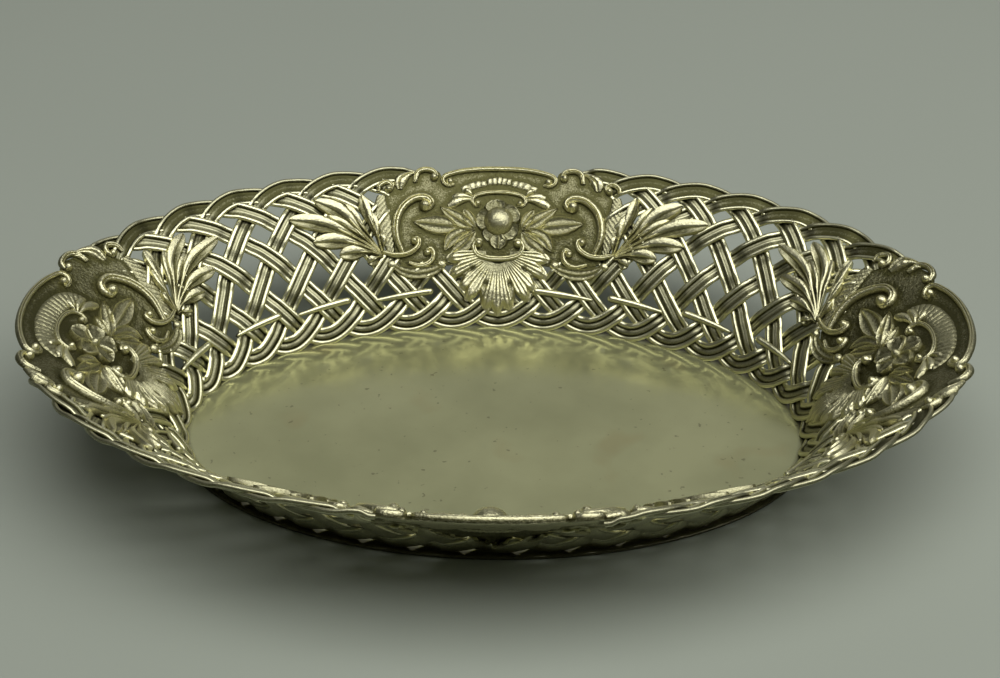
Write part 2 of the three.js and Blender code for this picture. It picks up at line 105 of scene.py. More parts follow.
def rim_angle(n):
    """Angle on the rim at weave pitch n: near a cartouche the pitches are set by its own width."""
    quarter = np.floor(n / QUARTER)
    along = n - quarter * QUARTER
    odd = np.mod(quarter, 2) > 0.5
    from_side = np.where(odd, QUARTER - along, along)
    whole = RIM_ARCS[-1]
    stops = (0.0, CARTOUCHE_PITCHES, QUARTER - CARTOUCHE_PITCHES, QUARTER)
    arcs = (0.0, ARC_AT_SIDE, whole - ARC_AT_END, whole)
    angle = np.interp(np.interp(from_side, stops, arcs), RIM_ARCS, RIM_ANGLES)
    return np.where(odd, (quarter + 1) * math.pi / 2 - angle, quarter * math.pi / 2 + angle)


def wall(n, v):
    """Point of the wall's middle surface at pitch n and share v of the wall's height.

    A line joins the foot oval to the rim oval at that pitch, and a parabola bows it so that it flares.
    """
    n = np.asarray(n, float)
    v = np.asarray(v, float)
    rim = rim_angle(n)
    foot = n * 2 * math.pi / PITCHES
    out = v - WALL_FLARE * v * (1 - v)
    up = v + WALL_FLARE * v * (1 - v)
    x = FOOT_HALF[0] * np.sin(foot) * (1 - out) + RIM_HALF[0] * np.sin(rim) * out
    y = FOOT_HALF[1] * np.cos(foot) * (1 - out) + RIM_HALF[1] * np.cos(rim) * out
    z = FOOT_HEIGHT + (RIM_HEIGHT - FOOT_HEIGHT) * up
    return np.stack(np.broadcast_arrays(x, y, z), -1)


def unit(a):
    """Vectors shortened or drawn out to length one."""
    return a / np.maximum(np.linalg.norm(a, axis=-1, keepdims=True), TINY)


def inward(n, v):
    """Unit normal of the wall towards the inside of the basket, from two short steps on the wall."""
    along = wall(n + LOOK, v) - wall(n - LOOK, v)
    upward = wall(n, v + LOOK) - wall(n, v - LOOK)
    return unit(np.cross(along, upward))


def smooth(a, low, high):
    """Nought below low, one above high, with an even ease between them."""
    t = np.clip((a - low) / (high - low), 0, 1)
    return t * t * (3 - 2 * t)


# a drawn line's length counts one wall height as this many pitches
DRAWN_HEIGHT = 2.9


def curve(points, count):
    """A smooth line through the points at even steps: cubic pieces whose slopes follow the neighbours."""
    p = np.asarray(points, float)
    gap = np.linalg.norm(np.diff(p, axis=0) * (1.0, DRAWN_HEIGHT), axis=1) ** 0.5
    at = np.concatenate([[0.0], np.cumsum(gap)])
    slope = np.gradient(p, at, axis=0)
    t = np.linspace(0, at[-1], count)
    i = np.clip(np.searchsorted(at, t, side="right") - 1, 0, len(at) - 2)
    width = (at[i + 1] - at[i])[:, None]
    u = (t - at[i])[:, None] / width
    a, b = p[i], p[i + 1]
    ma, mb = slope[i] * width, slope[i + 1] * width
    return (
        a * (2 * u**3 - 3 * u**2 + 1)
        + ma * (u**3 - 2 * u**2 + u)
        + b * (3 * u**2 - 2 * u**3)
        + mb * (u**3 - u**2)
    )


def in_scene(name, data):
    """A new object in the scene, from its mesh, lamp or camera."""
    thing = bpy.data.objects.new(name, data)
    bpy.context.scene.collection.objects.link(thing)
    return thing


SHARP_ANGLE = math.radians(55)


class Skins:
    """Closed skins gathered for one mesh: corner points, faces and how worn each corner is, with painted
    shade in places.
    """

    def __init__(self):
        self.points = []
        self.wear = []
        self.quads = []
        self.tris = []
        self.strokes = []
        self.count = 0

    def add(self, points, wear, quads, tris):
        """Takes one skin's arrays, with faces counted from its own first corner."""
        self.points.append(points)
        self.wear.append(np.broadcast_to(wear, (len(points),)))
        self.quads.append(np.asarray(quads, int).reshape(-1, 4) + self.count)
        self.tris.append(np.asarray(tris, int).reshape(-1, 3) + self.count)
        self.count += len(points)

    def tube(self, rings, wear):
        """Rings of corners joined by quads, closed round; each end closes on the middle of its ring."""
        k, m, _ = rings.shape
        row = np.arange(k - 1)[:, None] * m
        here = np.arange(m)[None, :]
        after = (here + 1) % m
        quads = np.stack([row + here, row + after, row + m + after, row + m + here], -1)
        ends = np.stack([rings[0].mean(0), rings[-1].mean(0)])
        first = np.stack([np.full(m, k * m), after[0], here[0]], -1)
        last = np.stack([np.full(m, k * m + 1), (k - 1) * m + here[0], (k - 1) * m + after[0]], -1)
        points = np.concatenate([rings.reshape(-1, 3), ends])
        worn = np.broadcast_to(wear, (k, m)).reshape(-1)
        worn = np.concatenate([worn, worn[:1], worn[-1:]])
        self.add(points, worn, quads.reshape(-1, 4), np.concatenate([first, last]))

    def slab(self, top, bottom, wear, under=0.0):
        """Two grids of corners joined round their edges, as a plate with a wear for each face."""
        r, c, _ = top.shape
        size = r * c
        i = np.arange(size).reshape(r, c)
        face = np.stack([i[:-1, :-1], i[:-1, 1:], i[1:, 1:], i[1:, :-1]], -1).reshape(-1, 4)
        loop = np.concatenate([i[0, :-1], i[:-1, -1], i[-1, :0:-1], i[:0:-1, 0]])
        after = np.roll(loop, -1)
        side = np.stack([loop + size, after + size, after, loop], -1)
        quads = np.concatenate([face, face[:, ::-1] + size, side])
        points = np.concatenate([top.reshape(-1, 3), bottom.reshape(-1, 3)])
        worn = np.concatenate([np.broadcast_to(a, (r, c)).reshape(-1) for a in (wear, under)])
        self.add(points, worn, quads, np.zeros((0, 3)))

    def mesh(self, name, body="root"):
        """One Blender mesh of all the skins, in metres, with the wear and its painted shade kept as a point
        attribute.
        """
        points = np.concatenate(self.points) * MM
        quads = np.concatenate(self.quads)
        tris = np.concatenate(self.tris)
        data = bpy.data.meshes.new(name)
        data.vertices.add(len(points))
        data.vertices.foreach_set("co", points.astype(np.float32).reshape(-1))
        corners = np.concatenate([quads.reshape(-1), tris.reshape(-1)]).astype(np.int32)
        starts = np.concatenate(
            [np.arange(len(quads)) * 4, len(quads) * 4 + np.arange(len(tris)) * 3]
        ).astype(np.int32)
        data.loops.add(len(corners))
        data.loops.foreach_set("vertex_index", corners)
        data.polygons.add(len(starts))
        data.polygons.foreach_set("loop_start", starts)
        data.update(calc_edges=True)
        data.validate()
        data.polygons.foreach_set("use_smooth", np.ones(len(data.polygons), bool))
        data.set_sharp_from_angle(angle=SHARP_ANGLE)
        worn = data.attributes.new("wear", "FLOAT", "POINT")
        worn.data.foreach_set("value", np.concatenate(self.wear).astype(np.float32))
        piece = in_scene(name, data)
        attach(piece, body)
        return piece


def cartouche_half(t):
    """Half width of the cartouche in pitches at a share of its height."""
    at, half = np.array(CARTOUCHE_SIDE).T
    return np.interp(t, at, half)


def cartouche_top(p, crest):
    """Height of the cartouche's top edge: a bowed crest in the middle and a lobe at each side."""
    q = np.abs(p)
    notch = crest - NOTCH_DEPTH
    bow = notch + NOTCH_DEPTH * np.sqrt(np.clip(1 - (q / SCROLL_HALF) ** 2, 0, 1))
    share = np.clip((q - SCROLL_HALF) / (LOBE_OUTER - SCROLL_HALF), 0, 1)
    lobe = notch - LOBE_SINK * share + LOBE_RISE * np.sin(math.pi * np.sqrt(share))
    return np.where(q < SCROLL_HALF, bow, lobe)


# the straps: rings along them, the heights where they bend, and how they dip under the reliefs

RINGS_PER_PITCH = 24
FEWEST_RINGS = 3
FOOT_BEND = (0.1, 0.2)
RIM_BEND = (0.86, 0.95)
SINK = 1.1
SINK_ZONE = (-0.16, 0.04)
TUCK = 0.14
STRAP_LOWEST = 0.4

# a bead of a strap's outline: its middle, its half width and its height, in millimetres
BEAD = (2.5, 1.0, 0.78)
FOOT_INNER_BEAD = (2.5, 1.0, 0.72)
FOOT_OUTER_BEAD = (2.35, 1.15, 0.74)
RIM_BEAD = (2.7, 0.8, 0.76)
BEAD_TURNS = (-40, 0, 30, 58, 84, 108, 132, 158)
BEAD_WEAR = (0.2, 0.75, 1.0, 1.0, 1.0, 0.95, 0.5, 0.05)
# painted shade: the outer bead of the rim straps, turned up and out, is darkened to half its wear
RIM_OUTER_SHADE_FACTOR = 0.5

# the channel between the beads, across the strap and up, with its wear, and the strap's back
RIBBED_CHANNEL = (
    (1.4, -0.2), (0.75, -0.24), (0.45, 0.0), (0.1, 0.05), (-0.3, -0.14), (-0.8, -0.02), (-1.35, -0.2),
)
RIBBED_WEAR = (0.06, 0.16, 0.5, 0.6, 0.18, 0.48, 0.08)
FOOT_CHANNEL = (
    (1.4, -0.46), (1.1, -0.22), (0.75, -0.06), (0.2, 0.0), (-0.35, -0.06), (-0.75, -0.22), (-1.1, -0.46),
)
FOOT_CHANNEL_WEAR = (0.02, 0.16, 0.34, 0.4, 0.34, 0.16, 0.02)
RIM_CHANNEL = (
    (1.8, -0.1), (1.3, -0.16), (0.7, -0.12), (0.0, -0.04), (-0.7, -0.12), (-1.3, -0.16), (-1.8, -0.1),
)
RIM_CHANNEL_WEAR = (0.0, 0.0, 0.02, 0.1, 0.02, 0.0, 0.0)
STRAP_BACK = ((-2.7, -0.78), (-1.7, -0.98), (-0.6, -1.08), (0.6, -1.08), (1.7, -0.98), (2.7, -0.78))
STRAP_BACK_WEAR = 0.55


def bead(middle, half_width, height):
    """Points over one bead of a strap's outline, on an oval arc about its middle."""
    angle = np.radians(BEAD_TURNS)
    return np.stack([middle + half_width * np.cos(angle), height * np.sin(angle)], 1)


def outline(inner, channel, outer, channel_wear, outer_shade_factor=1.0):
    """A strap's outline: one bead, the channel, the other bead and the rounded back, with the wear; the
    other bead's wear is scaled for painted shade.
    """
    far = bead(*outer)[::-1] * (-1.0, 1.0)
    far_wear_and_shade = outer_shade_factor * np.array(BEAD_WEAR[::-1])
    back_wear = np.full(len(STRAP_BACK), STRAP_BACK_WEAR)
    points = np.concatenate([bead(*inner), channel, far, STRAP_BACK])
    return points, np.concatenate([BEAD_WEAR, channel_wear, far_wear_and_shade, back_wear])


STRAIGHT_OUTLINE = outline(BEAD, RIBBED_CHANNEL, BEAD, RIBBED_WEAR)
FOOT_OUTLINE = outline(FOOT_INNER_BEAD, FOOT_CHANNEL, FOOT_OUTER_BEAD, FOOT_CHANNEL_WEAR)
RIM_OUTLINE = outline(RIM_BEAD, RIM_CHANNEL, RIM_BEAD, RIM_CHANNEL_WEAR, RIM_OUTER_SHADE_FACTOR)


def strand_line(n, j):
    """Wall place of strap j at pitch n, and how far it lies in front of the wall's middle.

    Its height is a zigzag, softened by the arc sine of a flattened cosine. It lies over and under its
    neighbours by turns, by a cosine with flattened peaks.
    """
    t = np.mod(n - j, STRANDS)
    c = RISE - np.abs(t - RISE)
    swing = np.arcsin(WAVE_SHARPNESS * np.cos(math.pi * c / RISE)) / math.asin(WAVE_SHARPNESS)
    height = WAVE_LOW + WAVE_SPAN * (0.5 - 0.5 * swing)
    v = height + WAVE_LIFT * np.sin(math.pi * height)
    shift = n - WAVE_DRAW * np.sin(math.pi * height) * np.sin(math.pi * n / QUARTER)
    ends = np.where(c < 0.5, np.sin(math.pi * c), np.sin(math.pi * (RISE - c)))
    over = np.where((c < 0.5) | (c > RISE - 0.5), ends, -np.cos(2 * math.pi * c))
    over = np.tanh(WEAVE_SNAP * over) / math.tanh(WEAVE_SNAP)
    return shift, v, WEAVE_DEPTH * over * np.where(t < RISE, 1.0, -1.0)


# where the weave is left out: in pitches inside the edge of a cartouche's plate or of its shell
COVER_FROM_FOOT = 1.8
COVER_FROM_TOP = 6
COVER_PAST_TOP = 0.08
CREST_HALF = 1.6
CREST_FROM = 0.8
FAN_COVER = 0.95
FAN_TIP_CUT = 0.6
FAN_COVER_TOP = 0.4


def cover(n, v):
    """How far, in pitches, a place on the weave lies inside the edge of a cartouche or of its shell.

    For the plate it is the least of the ways to its side, its foot and, near the rim, its top. For the
    shell it is a half width that grows with height, less the distance from the middle.
    """
    p = np.mod(n + QUARTER / 2, QUARTER) - QUARTER / 2
    at_end = np.mod(np.floor((n + QUARTER / 2) / QUARTER), 2) > 0.5
    top = cartouche_top(p, np.where(at_end, END_CREST, SIDE_CREST))
    share = (v - CARTOUCHE_BOTTOM) / (top - CARTOUCHE_BOTTOM)
    plate = np.minimum(cartouche_half(share) - np.abs(p), share * COVER_FROM_FOOT)
    above = np.maximum((top - v) * COVER_FROM_TOP + COVER_PAST_TOP, CREST_HALF - np.abs(p))
    plate = np.minimum(plate, np.where(v > CREST_FROM, above, 1.0))
    fan = FAN_COVER * smooth(v, 0.02, 0.34) - np.abs(p) - FAN_TIP_CUT * (1 - smooth(v, 0.1, 0.17))
    return np.maximum(plate, np.where(v < FAN_COVER_TOP, fan, -1.0))


# thin tapered reeds laid over the weave low down: how far round their middles are, by panel
REEDS = {
    0: (1.43, 3.1, 4.9, 7.0),
    10: (3.0, 5.1, 6.9, 8.57),
    20: (2.07, 3.95, 5.7, 7.9),
    30: (2.1, 4.3, 6.05, 7.93),
}
REED_TURNS = {0: -1.0, 10: 1.0, 20: -1.0, 30: 1.0}
REED_REACH = 0.68
REED_HEIGHT = 0.19
REED_TILT = 0.014
REED_WIDTH = 1.45
WIDTH_STEPS = 61
LEAST_WIDTH = 0.003


def rounded_half(widest, slim, swell, round_share):
    """Half widths along a strip: slim at its start, swelling to its widest, and rounded at both ends.

    Each end is rounded by a quarter of an oval over its own share of the strip's length.
    """
    s = np.linspace(0, 1, WIDTH_STEPS)
    body = slim + (1 - slim) * smooth(s, *swell)
    from_end = np.clip(1 - (1 - s) / round_share[1], 0, 1)
    from_start = np.clip(1 - s / round_share[0], 0, 1)
    return widest * body * np.sqrt(np.clip(1 - np.maximum(from_end, from_start) ** 2, LEAST_WIDTH, 1))


def weave_panel(name, start):
    """Ten pitches of the weave from one pitch on: each strap's outline is carried along its line.

    The outline blends from the foot's through the straight one to the rim's. A strap sinks beside a
    relief and is left out under it. The reeds lie on top.
    """
    skins = Skins()
    straight, straight_wear = STRAIGHT_OUTLINE
    foot, foot_wear = FOOT_OUTLINE
    rim, rim_wear = RIM_OUTLINE
    n = np.linspace(start, start + QUARTER, QUARTER * RINGS_PER_PITCH + 1)
    for j in range(STRANDS):
        line, v, lift = strand_line(n, j)
        ahead = strand_line(n + LOOK, j)
        behind = strand_line(n - LOOK, j)
        normal = inward(line, v)
        inside = cover(line, v)
        lift = lift - SINK * smooth(inside, *SINK_ZONE)
        centre = wall(line, v) + normal * lift[:, None]
        step = wall(ahead[0], ahead[1]) - wall(behind[0], behind[1])
        side = unit(np.cross(step, normal))
        top = unit(np.cross(side, step))
        low = 1 - smooth(v, *FOOT_BEND)[:, None]
        high = smooth(v, *RIM_BEND)[:, None]
        mid = 1 - low - high
        shape = straight * mid[..., None] + foot * low[..., None] + rim * high[..., None]
        rings = centre[:, None] + side[:, None] * shape[..., :1] + top[:, None] * shape[..., 1:]
        rings[..., 2] = np.maximum(rings[..., 2], STRAP_LOWEST)
        wear = straight_wear * mid + foot_wear * low + rim_wear * high
        shown = inside < TUCK
        edges = np.flatnonzero(np.diff(np.concatenate([[False], shown, [False]]).astype(int)))
        for a, b in edges.reshape(-1, 2):
            if b - a >= FEWEST_RINGS:
                skins.tube(rings[a:b, ::-1], wear[a:b, ::-1])
    reed = rounded_half(REED_WIDTH, slim=0.5, swell=(0.0, 0.6), round_share=(0.1, 0.07))
    share = np.array([-1.0, 0.0, 1.0])
    for at in REEDS[start]:
        along = at + REED_TURNS[start] * REED_REACH * share
        line = np.stack([along, REED_HEIGHT + REED_TILT * share], 1)
        ribbon(skins, start, line, reed, reed, round_form, base=-0.4, lift=0.75, rings=44, worn=1.0)
    return skins.mesh(name)


# the floor: its profile's rows are a share of the oval, a reach past it and a height, in millimetres

FLOOR_TOP = 1.2
FLOOR_LEDGE = 3.0
FLOOR_SECTORS = 240
FLOOR_SHARES = (0.004, 0.2, 0.4, 0.6, 0.8, 0.96, 0.98, 1.0)
# one on the open top, nought on the ledge and below, where the finish paints shade with tarnish under the
# wall's foot
FLOOR_TOP_UNSHADED = (1, 1, 1, 1, 1, 1, 0.3, 0)
FLOOR_TOP_REACH = -1.2
FLOOR_UNDER_REACH = -1.5
FLOOR_EDGE = (
    (1.0, -0.6, FLOOR_TOP), (1.0, -0.2, 1.1), (1.0, 0.0, 0.85), (1.0, 0.0, 0.3), (1.0, -0.3, 0.0),
)


def floor_plate():
    """The oval floor: rings of one profile, out from the middle, over a rounded edge and back below.

    Each ring is an oval, by the sine and cosine of the turn, whose half widths are the row's share of
    the wall's foot with its ledge and the row's reach.
    """
    skins = Skins()
    turn = np.linspace(0, 2 * math.pi, FLOOR_SECTORS, endpoint=False)
    share = np.array(FLOOR_SHARES)
    rows = np.ones(len(share))
    top = np.stack([share, FLOOR_TOP_REACH * rows, FLOOR_TOP * rows], 1)
    under = np.stack([share[::-1], FLOOR_UNDER_REACH * rows, 0 * rows], 1)
    profile = np.concatenate([top, FLOOR_EDGE, under])
    wear = np.concatenate([FLOOR_TOP_UNSHADED, np.zeros(len(FLOOR_EDGE) + len(under))])
    share, reach, height = profile.T
    reach = reach * share
    x = (share * (FOOT_HALF[0] + FLOOR_LEDGE) + reach)[:, None] * np.sin(turn)
    y = (share * (FOOT_HALF[1] + FLOOR_LEDGE) + reach)[:, None] * np.cos(turn)
    z = np.broadcast_to(height[:, None], x.shape)
    skins.tube(np.stack([x, y, z], -1), wear[:, None])
    return skins.mesh("polished_floor_plate")


# relief ornament: a line is drawn on the wall in pitches from the middle and shares of its height


def on_wall(middle, path):
    """Points, side, forward and inward vectors along a line of (pitch, height) places on the wall."""
    n = middle + path[:, 0]
    v = path[:, 1]
    points = wall(n, v)
    normal = inward(n, v)
    forward = unit(np.gradient(points, axis=0))
    side = unit(np.cross(forward, normal))
    return points, side, np.cross(normal, side), normal


RIBBON_COLUMNS = 11
RIBBON_FOOT = 0.92
# painted shade: the strips' foot corners get a low wear, darkening their sides where they meet the ground
RIBBON_FOOT_SHADE = 0.1


def ribbon(skins, middle, points, half, tall, form, base=-0.2, lift=0.0, rings=28, worn=0.75):
    """A shaped strip along a drawn line, half wide and tall at even steps along it.

    Across it the height is the lift plus the strip's own height times form(s, t), with s along it and t
    from side to side. Below, it ends on two lines of corners just inside its edges, at the base.
    """
    path = curve(points, rings)
    at, side, _, normal = on_wall(middle, path)
    s = np.linspace(0, 1, rings)[:, None]
    t = np.linspace(-1, 1, RIBBON_COLUMNS)[None, :]
    width = np.interp(s[:, 0], np.linspace(0, 1, len(half)), half)[:, None]
    height = np.interp(s[:, 0], np.linspace(0, 1, len(tall)), tall)[:, None]
    skins.strokes.append(np.column_stack([path, width]))
    shape, wear = form(s, t)
    across = np.concatenate([width * t, width * RIBBON_FOOT, width * -RIBBON_FOOT], 1)
    up = np.concatenate([lift + height * shape, np.full((rings, 2), base)], 1)
    # painted shade at the foot of the strip
    dull = np.full((rings, 2), RIBBON_FOOT_SHADE)
    tone = np.concatenate([np.broadcast_to(wear, shape.shape), dull], 1) * worn
    ring = at[:, None] + side[:, None] * across[..., None] + normal[:, None] * up[..., None]
    skins.tube(ring, tone)


def bell(a, middle, width):
    """A soft peak: one at its middle, and e to the minus square of the distance over the width."""
    return np.exp(-(((a - middle) / width) ** 2))


# the forms: peaks and waves along s or across t, then shares of the height and of the wear

GROOVE = (0.2, 0.16)
GROOVE_DEPTH = 0.42
GROOVE_DULL = 0.75
BAR_WORN = 1.1

LEAF_EDGE = (0.84, 0.12)
LEAF_RIB = (0.0, 0.1)
VEIN_WAVES = 60
VEIN_LEAN = 9
LEAF_RISE = (0.62, 0.38, 0.3, 0.12, 0.03)
LEAF_WORN = (0.24, 0.76, 0.45, 0.1)

SPOON_RIM = (0.84, 0.13)
STALK_DEPTH = 0.2
STALK_WAVES = 10
CROWN_RISE = 0.16
CROWN_MIDDLE = -0.45
CROWN_HALF = 0.55
SPOON_RISE = (0.25, 0.6, 0.3, 0.4)
SPOON_WORN = (0.06, 0.66, 0.5, 1.3, 0.45)

PETAL_EDGE = (0.8, 0.18)
PETAL_ROLL = 0.8
PETAL_FOLDS = 9
PETAL_RISE = (0.6, 0.4, 0.1)
PETAL_WORN = (0.25, 0.55, 0.25)

RIDGE_POWER = 0.7
DOME_POWER = 0.3


def round_form(s, t):
    """A half-round bar: the root of one less t squared."""
    dome = np.sqrt(np.clip(1 - t**2, 0, 1)) + 0 * s
    return dome, dome


def reeded_form(s, t):
    """A bar of two rounds of unlike width: a half round with a fine groove between them."""
    groove = bell(t, *GROOVE)
    dome = np.sqrt(np.clip(1 - t**2, 0, 1))
    wear = np.clip(BAR_WORN * dome - GROOVE_DULL * groove, 0, 1)
    return dome * (1 - GROOVE_DEPTH * groove) + 0 * s, wear + 0 * s


def leaf_form(s, t):
    """A leaf with a raised edge, a raised midrib and fine veins that lean towards the tip.

    Edge and rib are soft peaks across t, and the veins are waves of s less a share of t.
    """
    flat, edge_rise, rib_rise, sunk, vein_rise = LEAF_RISE
    dull, edge_worn, rib_worn, vein_worn = LEAF_WORN
    a = np.abs(t)
    edge = bell(a, *LEAF_EDGE)
    rib = bell(a, *LEAF_RIB)
    vein = np.sin(VEIN_WAVES * s - VEIN_LEAN * a) * smooth(a, 0.1, 0.3) * (1 - smooth(a, 0.6, 0.8))
    shape = flat + edge_rise * edge + rib_rise * rib - sunk * (1 - edge) * (1 - rib) + vein_rise * vein
    shape = shape * (1 - smooth(a, 0.9, 1.02))
    return shape, np.clip(dull + edge_worn * edge + rib_worn * rib + vein_worn * vein, 0, 1)


def hollow_form(s, t):
    """A curled spoon-shaped leaf: a full flank, and a step down to a scooped one with a thin rim.

    A parabola crowns the full flank, the stalk has waves across t, and the tip's scooped side folds up.
    """
    low, flank_rise, rim_rise, fold_rise = SPOON_RISE
    dull, flank_worn, rim_worn, stalk_worn, fold_worn = SPOON_WORN
    flank = 1 - smooth(t, -0.02, 0.2)
    rim = bell(t, *SPOON_RIM)
    stalk = STALK_DEPTH * np.sin(STALK_WAVES * t) * (1 - smooth(s, 0.35, 0.75))
    fold = smooth(s, 0.74, 0.9) * (1 - smooth(s, 0.95, 1.0)) * smooth(t, -0.2, 0.5)
    crown = CROWN_RISE * (1 - ((t - CROWN_MIDDLE) / CROWN_HALF) ** 2) * flank
    shape = low + flank_rise * flank + crown + rim_rise * rim + stalk + fold_rise * fold
    shape = shape * (1 - smooth(np.abs(t), 0.86, 1.02))
    wear = dull + flank_worn * flank + rim_worn * rim + stalk_worn * stalk + fold_worn * fold
    return shape, np.clip(wear, 0, 1)


def petal_form(s, t):
    """A broad petal: a rolled edge round a soft hollow, with a few folds that fan out to its end.

    The edge is a soft peak across t and a step near the end of s, and the folds are a cosine of t.
    """
    low, edge_rise, fold_rise = PETAL_RISE
    dull, edge_worn, fold_worn = PETAL_WORN
    edge = bell(np.abs(t), *PETAL_EDGE) + PETAL_ROLL * smooth(s, 0.78, 0.9)
    fold = np.cos(PETAL_FOLDS * t) * smooth(s, 0.25, 0.8)
    shape = low + edge_rise * np.clip(edge, 0, 1) + fold_rise * fold
    shape = shape * (1 - smooth(np.abs(t), 0.9, 1.02))
    return shape, np.clip(dull + edge_worn * edge + fold_worn * fold, 0, 1)


def crimped_form(waves, low, slant=0.12, dull=0.05):
    """A strip beaten into a row of small ridges across its run, which may lean.

    Each ridge is one arch of a sine along s, moved on by the slant times t, under a broad dome in t.
    """

    def form(s, t):
        ridge = np.abs(np.sin(math.pi * (waves * s + slant * t))) ** RIDGE_POWER
        dome = np.clip(1 - t**2, 0, 1) ** DOME_POWER
        return dome * (low + (1 - low) * ridge), (dull + (1 - dull) * ridge) * dome

    return form


KNOB_SIDES = 16
KNOB_STEP = 0.001
KNOB_BASE = -0.2
KNOB_RISE = (88, 70, 50, 30, 12, 0)
KNOB_FOOT = (0.96, 0.1)
# wear by ring from the top down: worn on the top, with painted shade on the lowest rings and the foot
KNOB_WEAR_AND_SHADE = (1.0, 1.0, 1.0, 0.9, 0.6, 0.3, 0.1, 0.1)


def knob(skins, middle, p, v, radius, tall, lift=0.0, worn=0.95):
    """A small dome on the wall: circles that shrink as they rise, on a short straight side."""
    line = np.array([[p, v - KNOB_STEP], [p, v], [p, v + KNOB_STEP]])
    at, side, forward, normal = on_wall(middle, line)
    turn = np.linspace(0, 2 * math.pi, KNOB_SIDES, endpoint=False)[None, :]
    rise = np.radians(KNOB_RISE)
    reach = np.concatenate([np.cos(rise), KNOB_FOOT])[:, None] * radius
    up = np.concatenate([lift + tall * np.sin(rise), [KNOB_BASE, KNOB_BASE]])[:, None]
    ring = (
        at[1]
        + side[1] * (reach * np.cos(turn))[..., None]
        + forward[1] * (reach * np.sin(turn))[..., None]
        + normal[1] * (up + 0 * turn)[..., None]
    )
    skins.tube(ring[:, ::-1], np.array(KNOB_WEAR_AND_SHADE)[:, None] * worn)


SCROLL_TAPER = (0.6, 0.9, 1.0, 1.0, 1.0, 0.9, 0.6)
SCROLL_TALL = 1.3
BALL_RADIUS = 1.35
BALL_TALL = 1.9


def both(points):
    """A drawn line or place and its mirror image about the cartouche's middle."""
    p = np.asarray(points, float)
    return p, p * (-1.0, 1.0)


def ball_in_curl(skins, middle, at, thick, lift):
    """The ball in the curl of a scroll, a little thicker than its bar."""
    knob(skins, middle, at[0], at[1], thick * BALL_RADIUS, thick * BALL_TALL, lift=lift)


def scroll(skins, middle, points, thick, lift):
    """A thin reeded bar along a line, tapering at its ends."""
    half = [thick * k for k in SCROLL_TAPER]
    tall = [h * SCROLL_TALL for h in half]
    ribbon(skins, middle, points, half, tall, reeded_form, lift=lift, rings=44, worn=1.0)


# the cartouche's lines, on its right half or across its middle, with balls in their curls
TOP_SCROLL = (
    (0.83, 0.888), (0.94, 0.88), (1.04, 0.905), (1.02, 0.94), (0.82, 0.966), (0.5, 0.984), (0.0, 0.99),
)
TOP_BALL = (0.91, 0.905)
INNER_SCROLL = ((0.36, 0.742), (0.45, 0.74), (0.51, 0.768), (0.47, 0.8), (0.3, 0.822), (0.0, 0.831))
INNER_BALL = (0.4, 0.756)
CUP_SCROLL = ((0.33, 0.505), (0.4, 0.515), (0.5, 0.475), (0.44, 0.425), (0.25, 0.401), (0.0, 0.394))
CUP_BALL = (0.4, 0.492)
FLANK_SCROLL = (
    (1.44, 0.73), (1.36, 0.735), (1.29, 0.765), (1.37, 0.8), (1.6, 0.803), (1.88, 0.745),
    (2.03, 0.66), (2.07, 0.56), (1.98, 0.455),
)
FLANK_BALL = (1.42, 0.748)
STEM = ((2.42, 0.47), (2.12, 0.443), (1.84, 0.45), (1.64, 0.49), (1.61, 0.53), (1.69, 0.545))
STEM_BALL = (1.7, 0.525)
LOWER_SCROLL = ((1.47, 0.462), (1.38, 0.47), (1.33, 0.435), (1.4, 0.39), (1.6, 0.366), (1.87, 0.39))
LOWER_BALL = (1.46, 0.445)
LOBE_ARCH = ((1.14, 0.945), (1.2, 0.98), (1.36, 0.995), (1.5, 0.975), (1.57, 0.91))
LOBE_BALL = (1.2, 0.938)
LOBE_DROP = ((1.46, 0.975), (1.53, 0.945), (1.54, 0.91))
HOOK = ((2.07, 0.862), (2.03, 0.9), (2.13, 0.925), (2.28, 0.9), (2.3, 0.865))
HOOK_BALL = (2.1, 0.876)

# bars drawn across the middle, then bars drawn once a side: line, half width, ball and lift
MIDDLE_BARS = (
    (TOP_SCROLL, 1.15, TOP_BALL, 0.3),
    (INNER_SCROLL, 0.95, INNER_BALL, 0.3),
    (CUP_SCROLL, 1.3, CUP_BALL, 0.9),
)
SIDE_BARS = (
    (FLANK_SCROLL, 1.75, FLANK_BALL, 0.5),
    (STEM, 1.2, STEM_BALL, 0.8),
    (LOWER_SCROLL, 1.1, LOWER_BALL, 0.5),
    (LOBE_ARCH, 1.25, LOBE_BALL, 0.4),
    (LOBE_DROP, 1.0, None, 0.4),
    (HOOK, 1.15, HOOK_BALL, 0.5),
)

# strips of one half: lines, half widths and heights along them in millimetres
LEAVES = (
    (((0.46, 0.6), (0.58, 0.66), (0.68, 0.722)), 2.1),
    (((0.46, 0.585), (0.78, 0.65), (1.13, 0.738)), 2.7),
    (((0.8, 0.6), (1.18, 0.622), (1.68, 0.65)), 3.7),
    (((0.46, 0.57), (0.66, 0.5), (0.98, 0.43)), 2.9),
    (((0.5, 0.585), (0.92, 0.53), (1.1, 0.452)), 2.6),
)
LEAF_SPREAD = 1.25
LEAF_HALF = (0.12, 0.7, 0.95, 1.0, 0.86, 0.55, 0.04)
LEAF_TALL = (1.2, 1.8, 1.9, 1.8, 1.6, 1.4, 1.0)
LUMPS = (
    (((0.5, 0.8), (0.56, 0.83), (0.66, 0.853)), 1.4),
    (((0.5, 0.79), (0.68, 0.805), (0.88, 0.8)), 1.8),
    (((0.52, 0.78), (0.74, 0.775), (0.97, 0.742)), 2.0),
)
LUMP_HALF = (0.3, 0.5, 0.8, 1.0, 1.0, 0.6)
LUMP_TALL = (1.2, 1.8, 1.9, 1.7, 0.9)
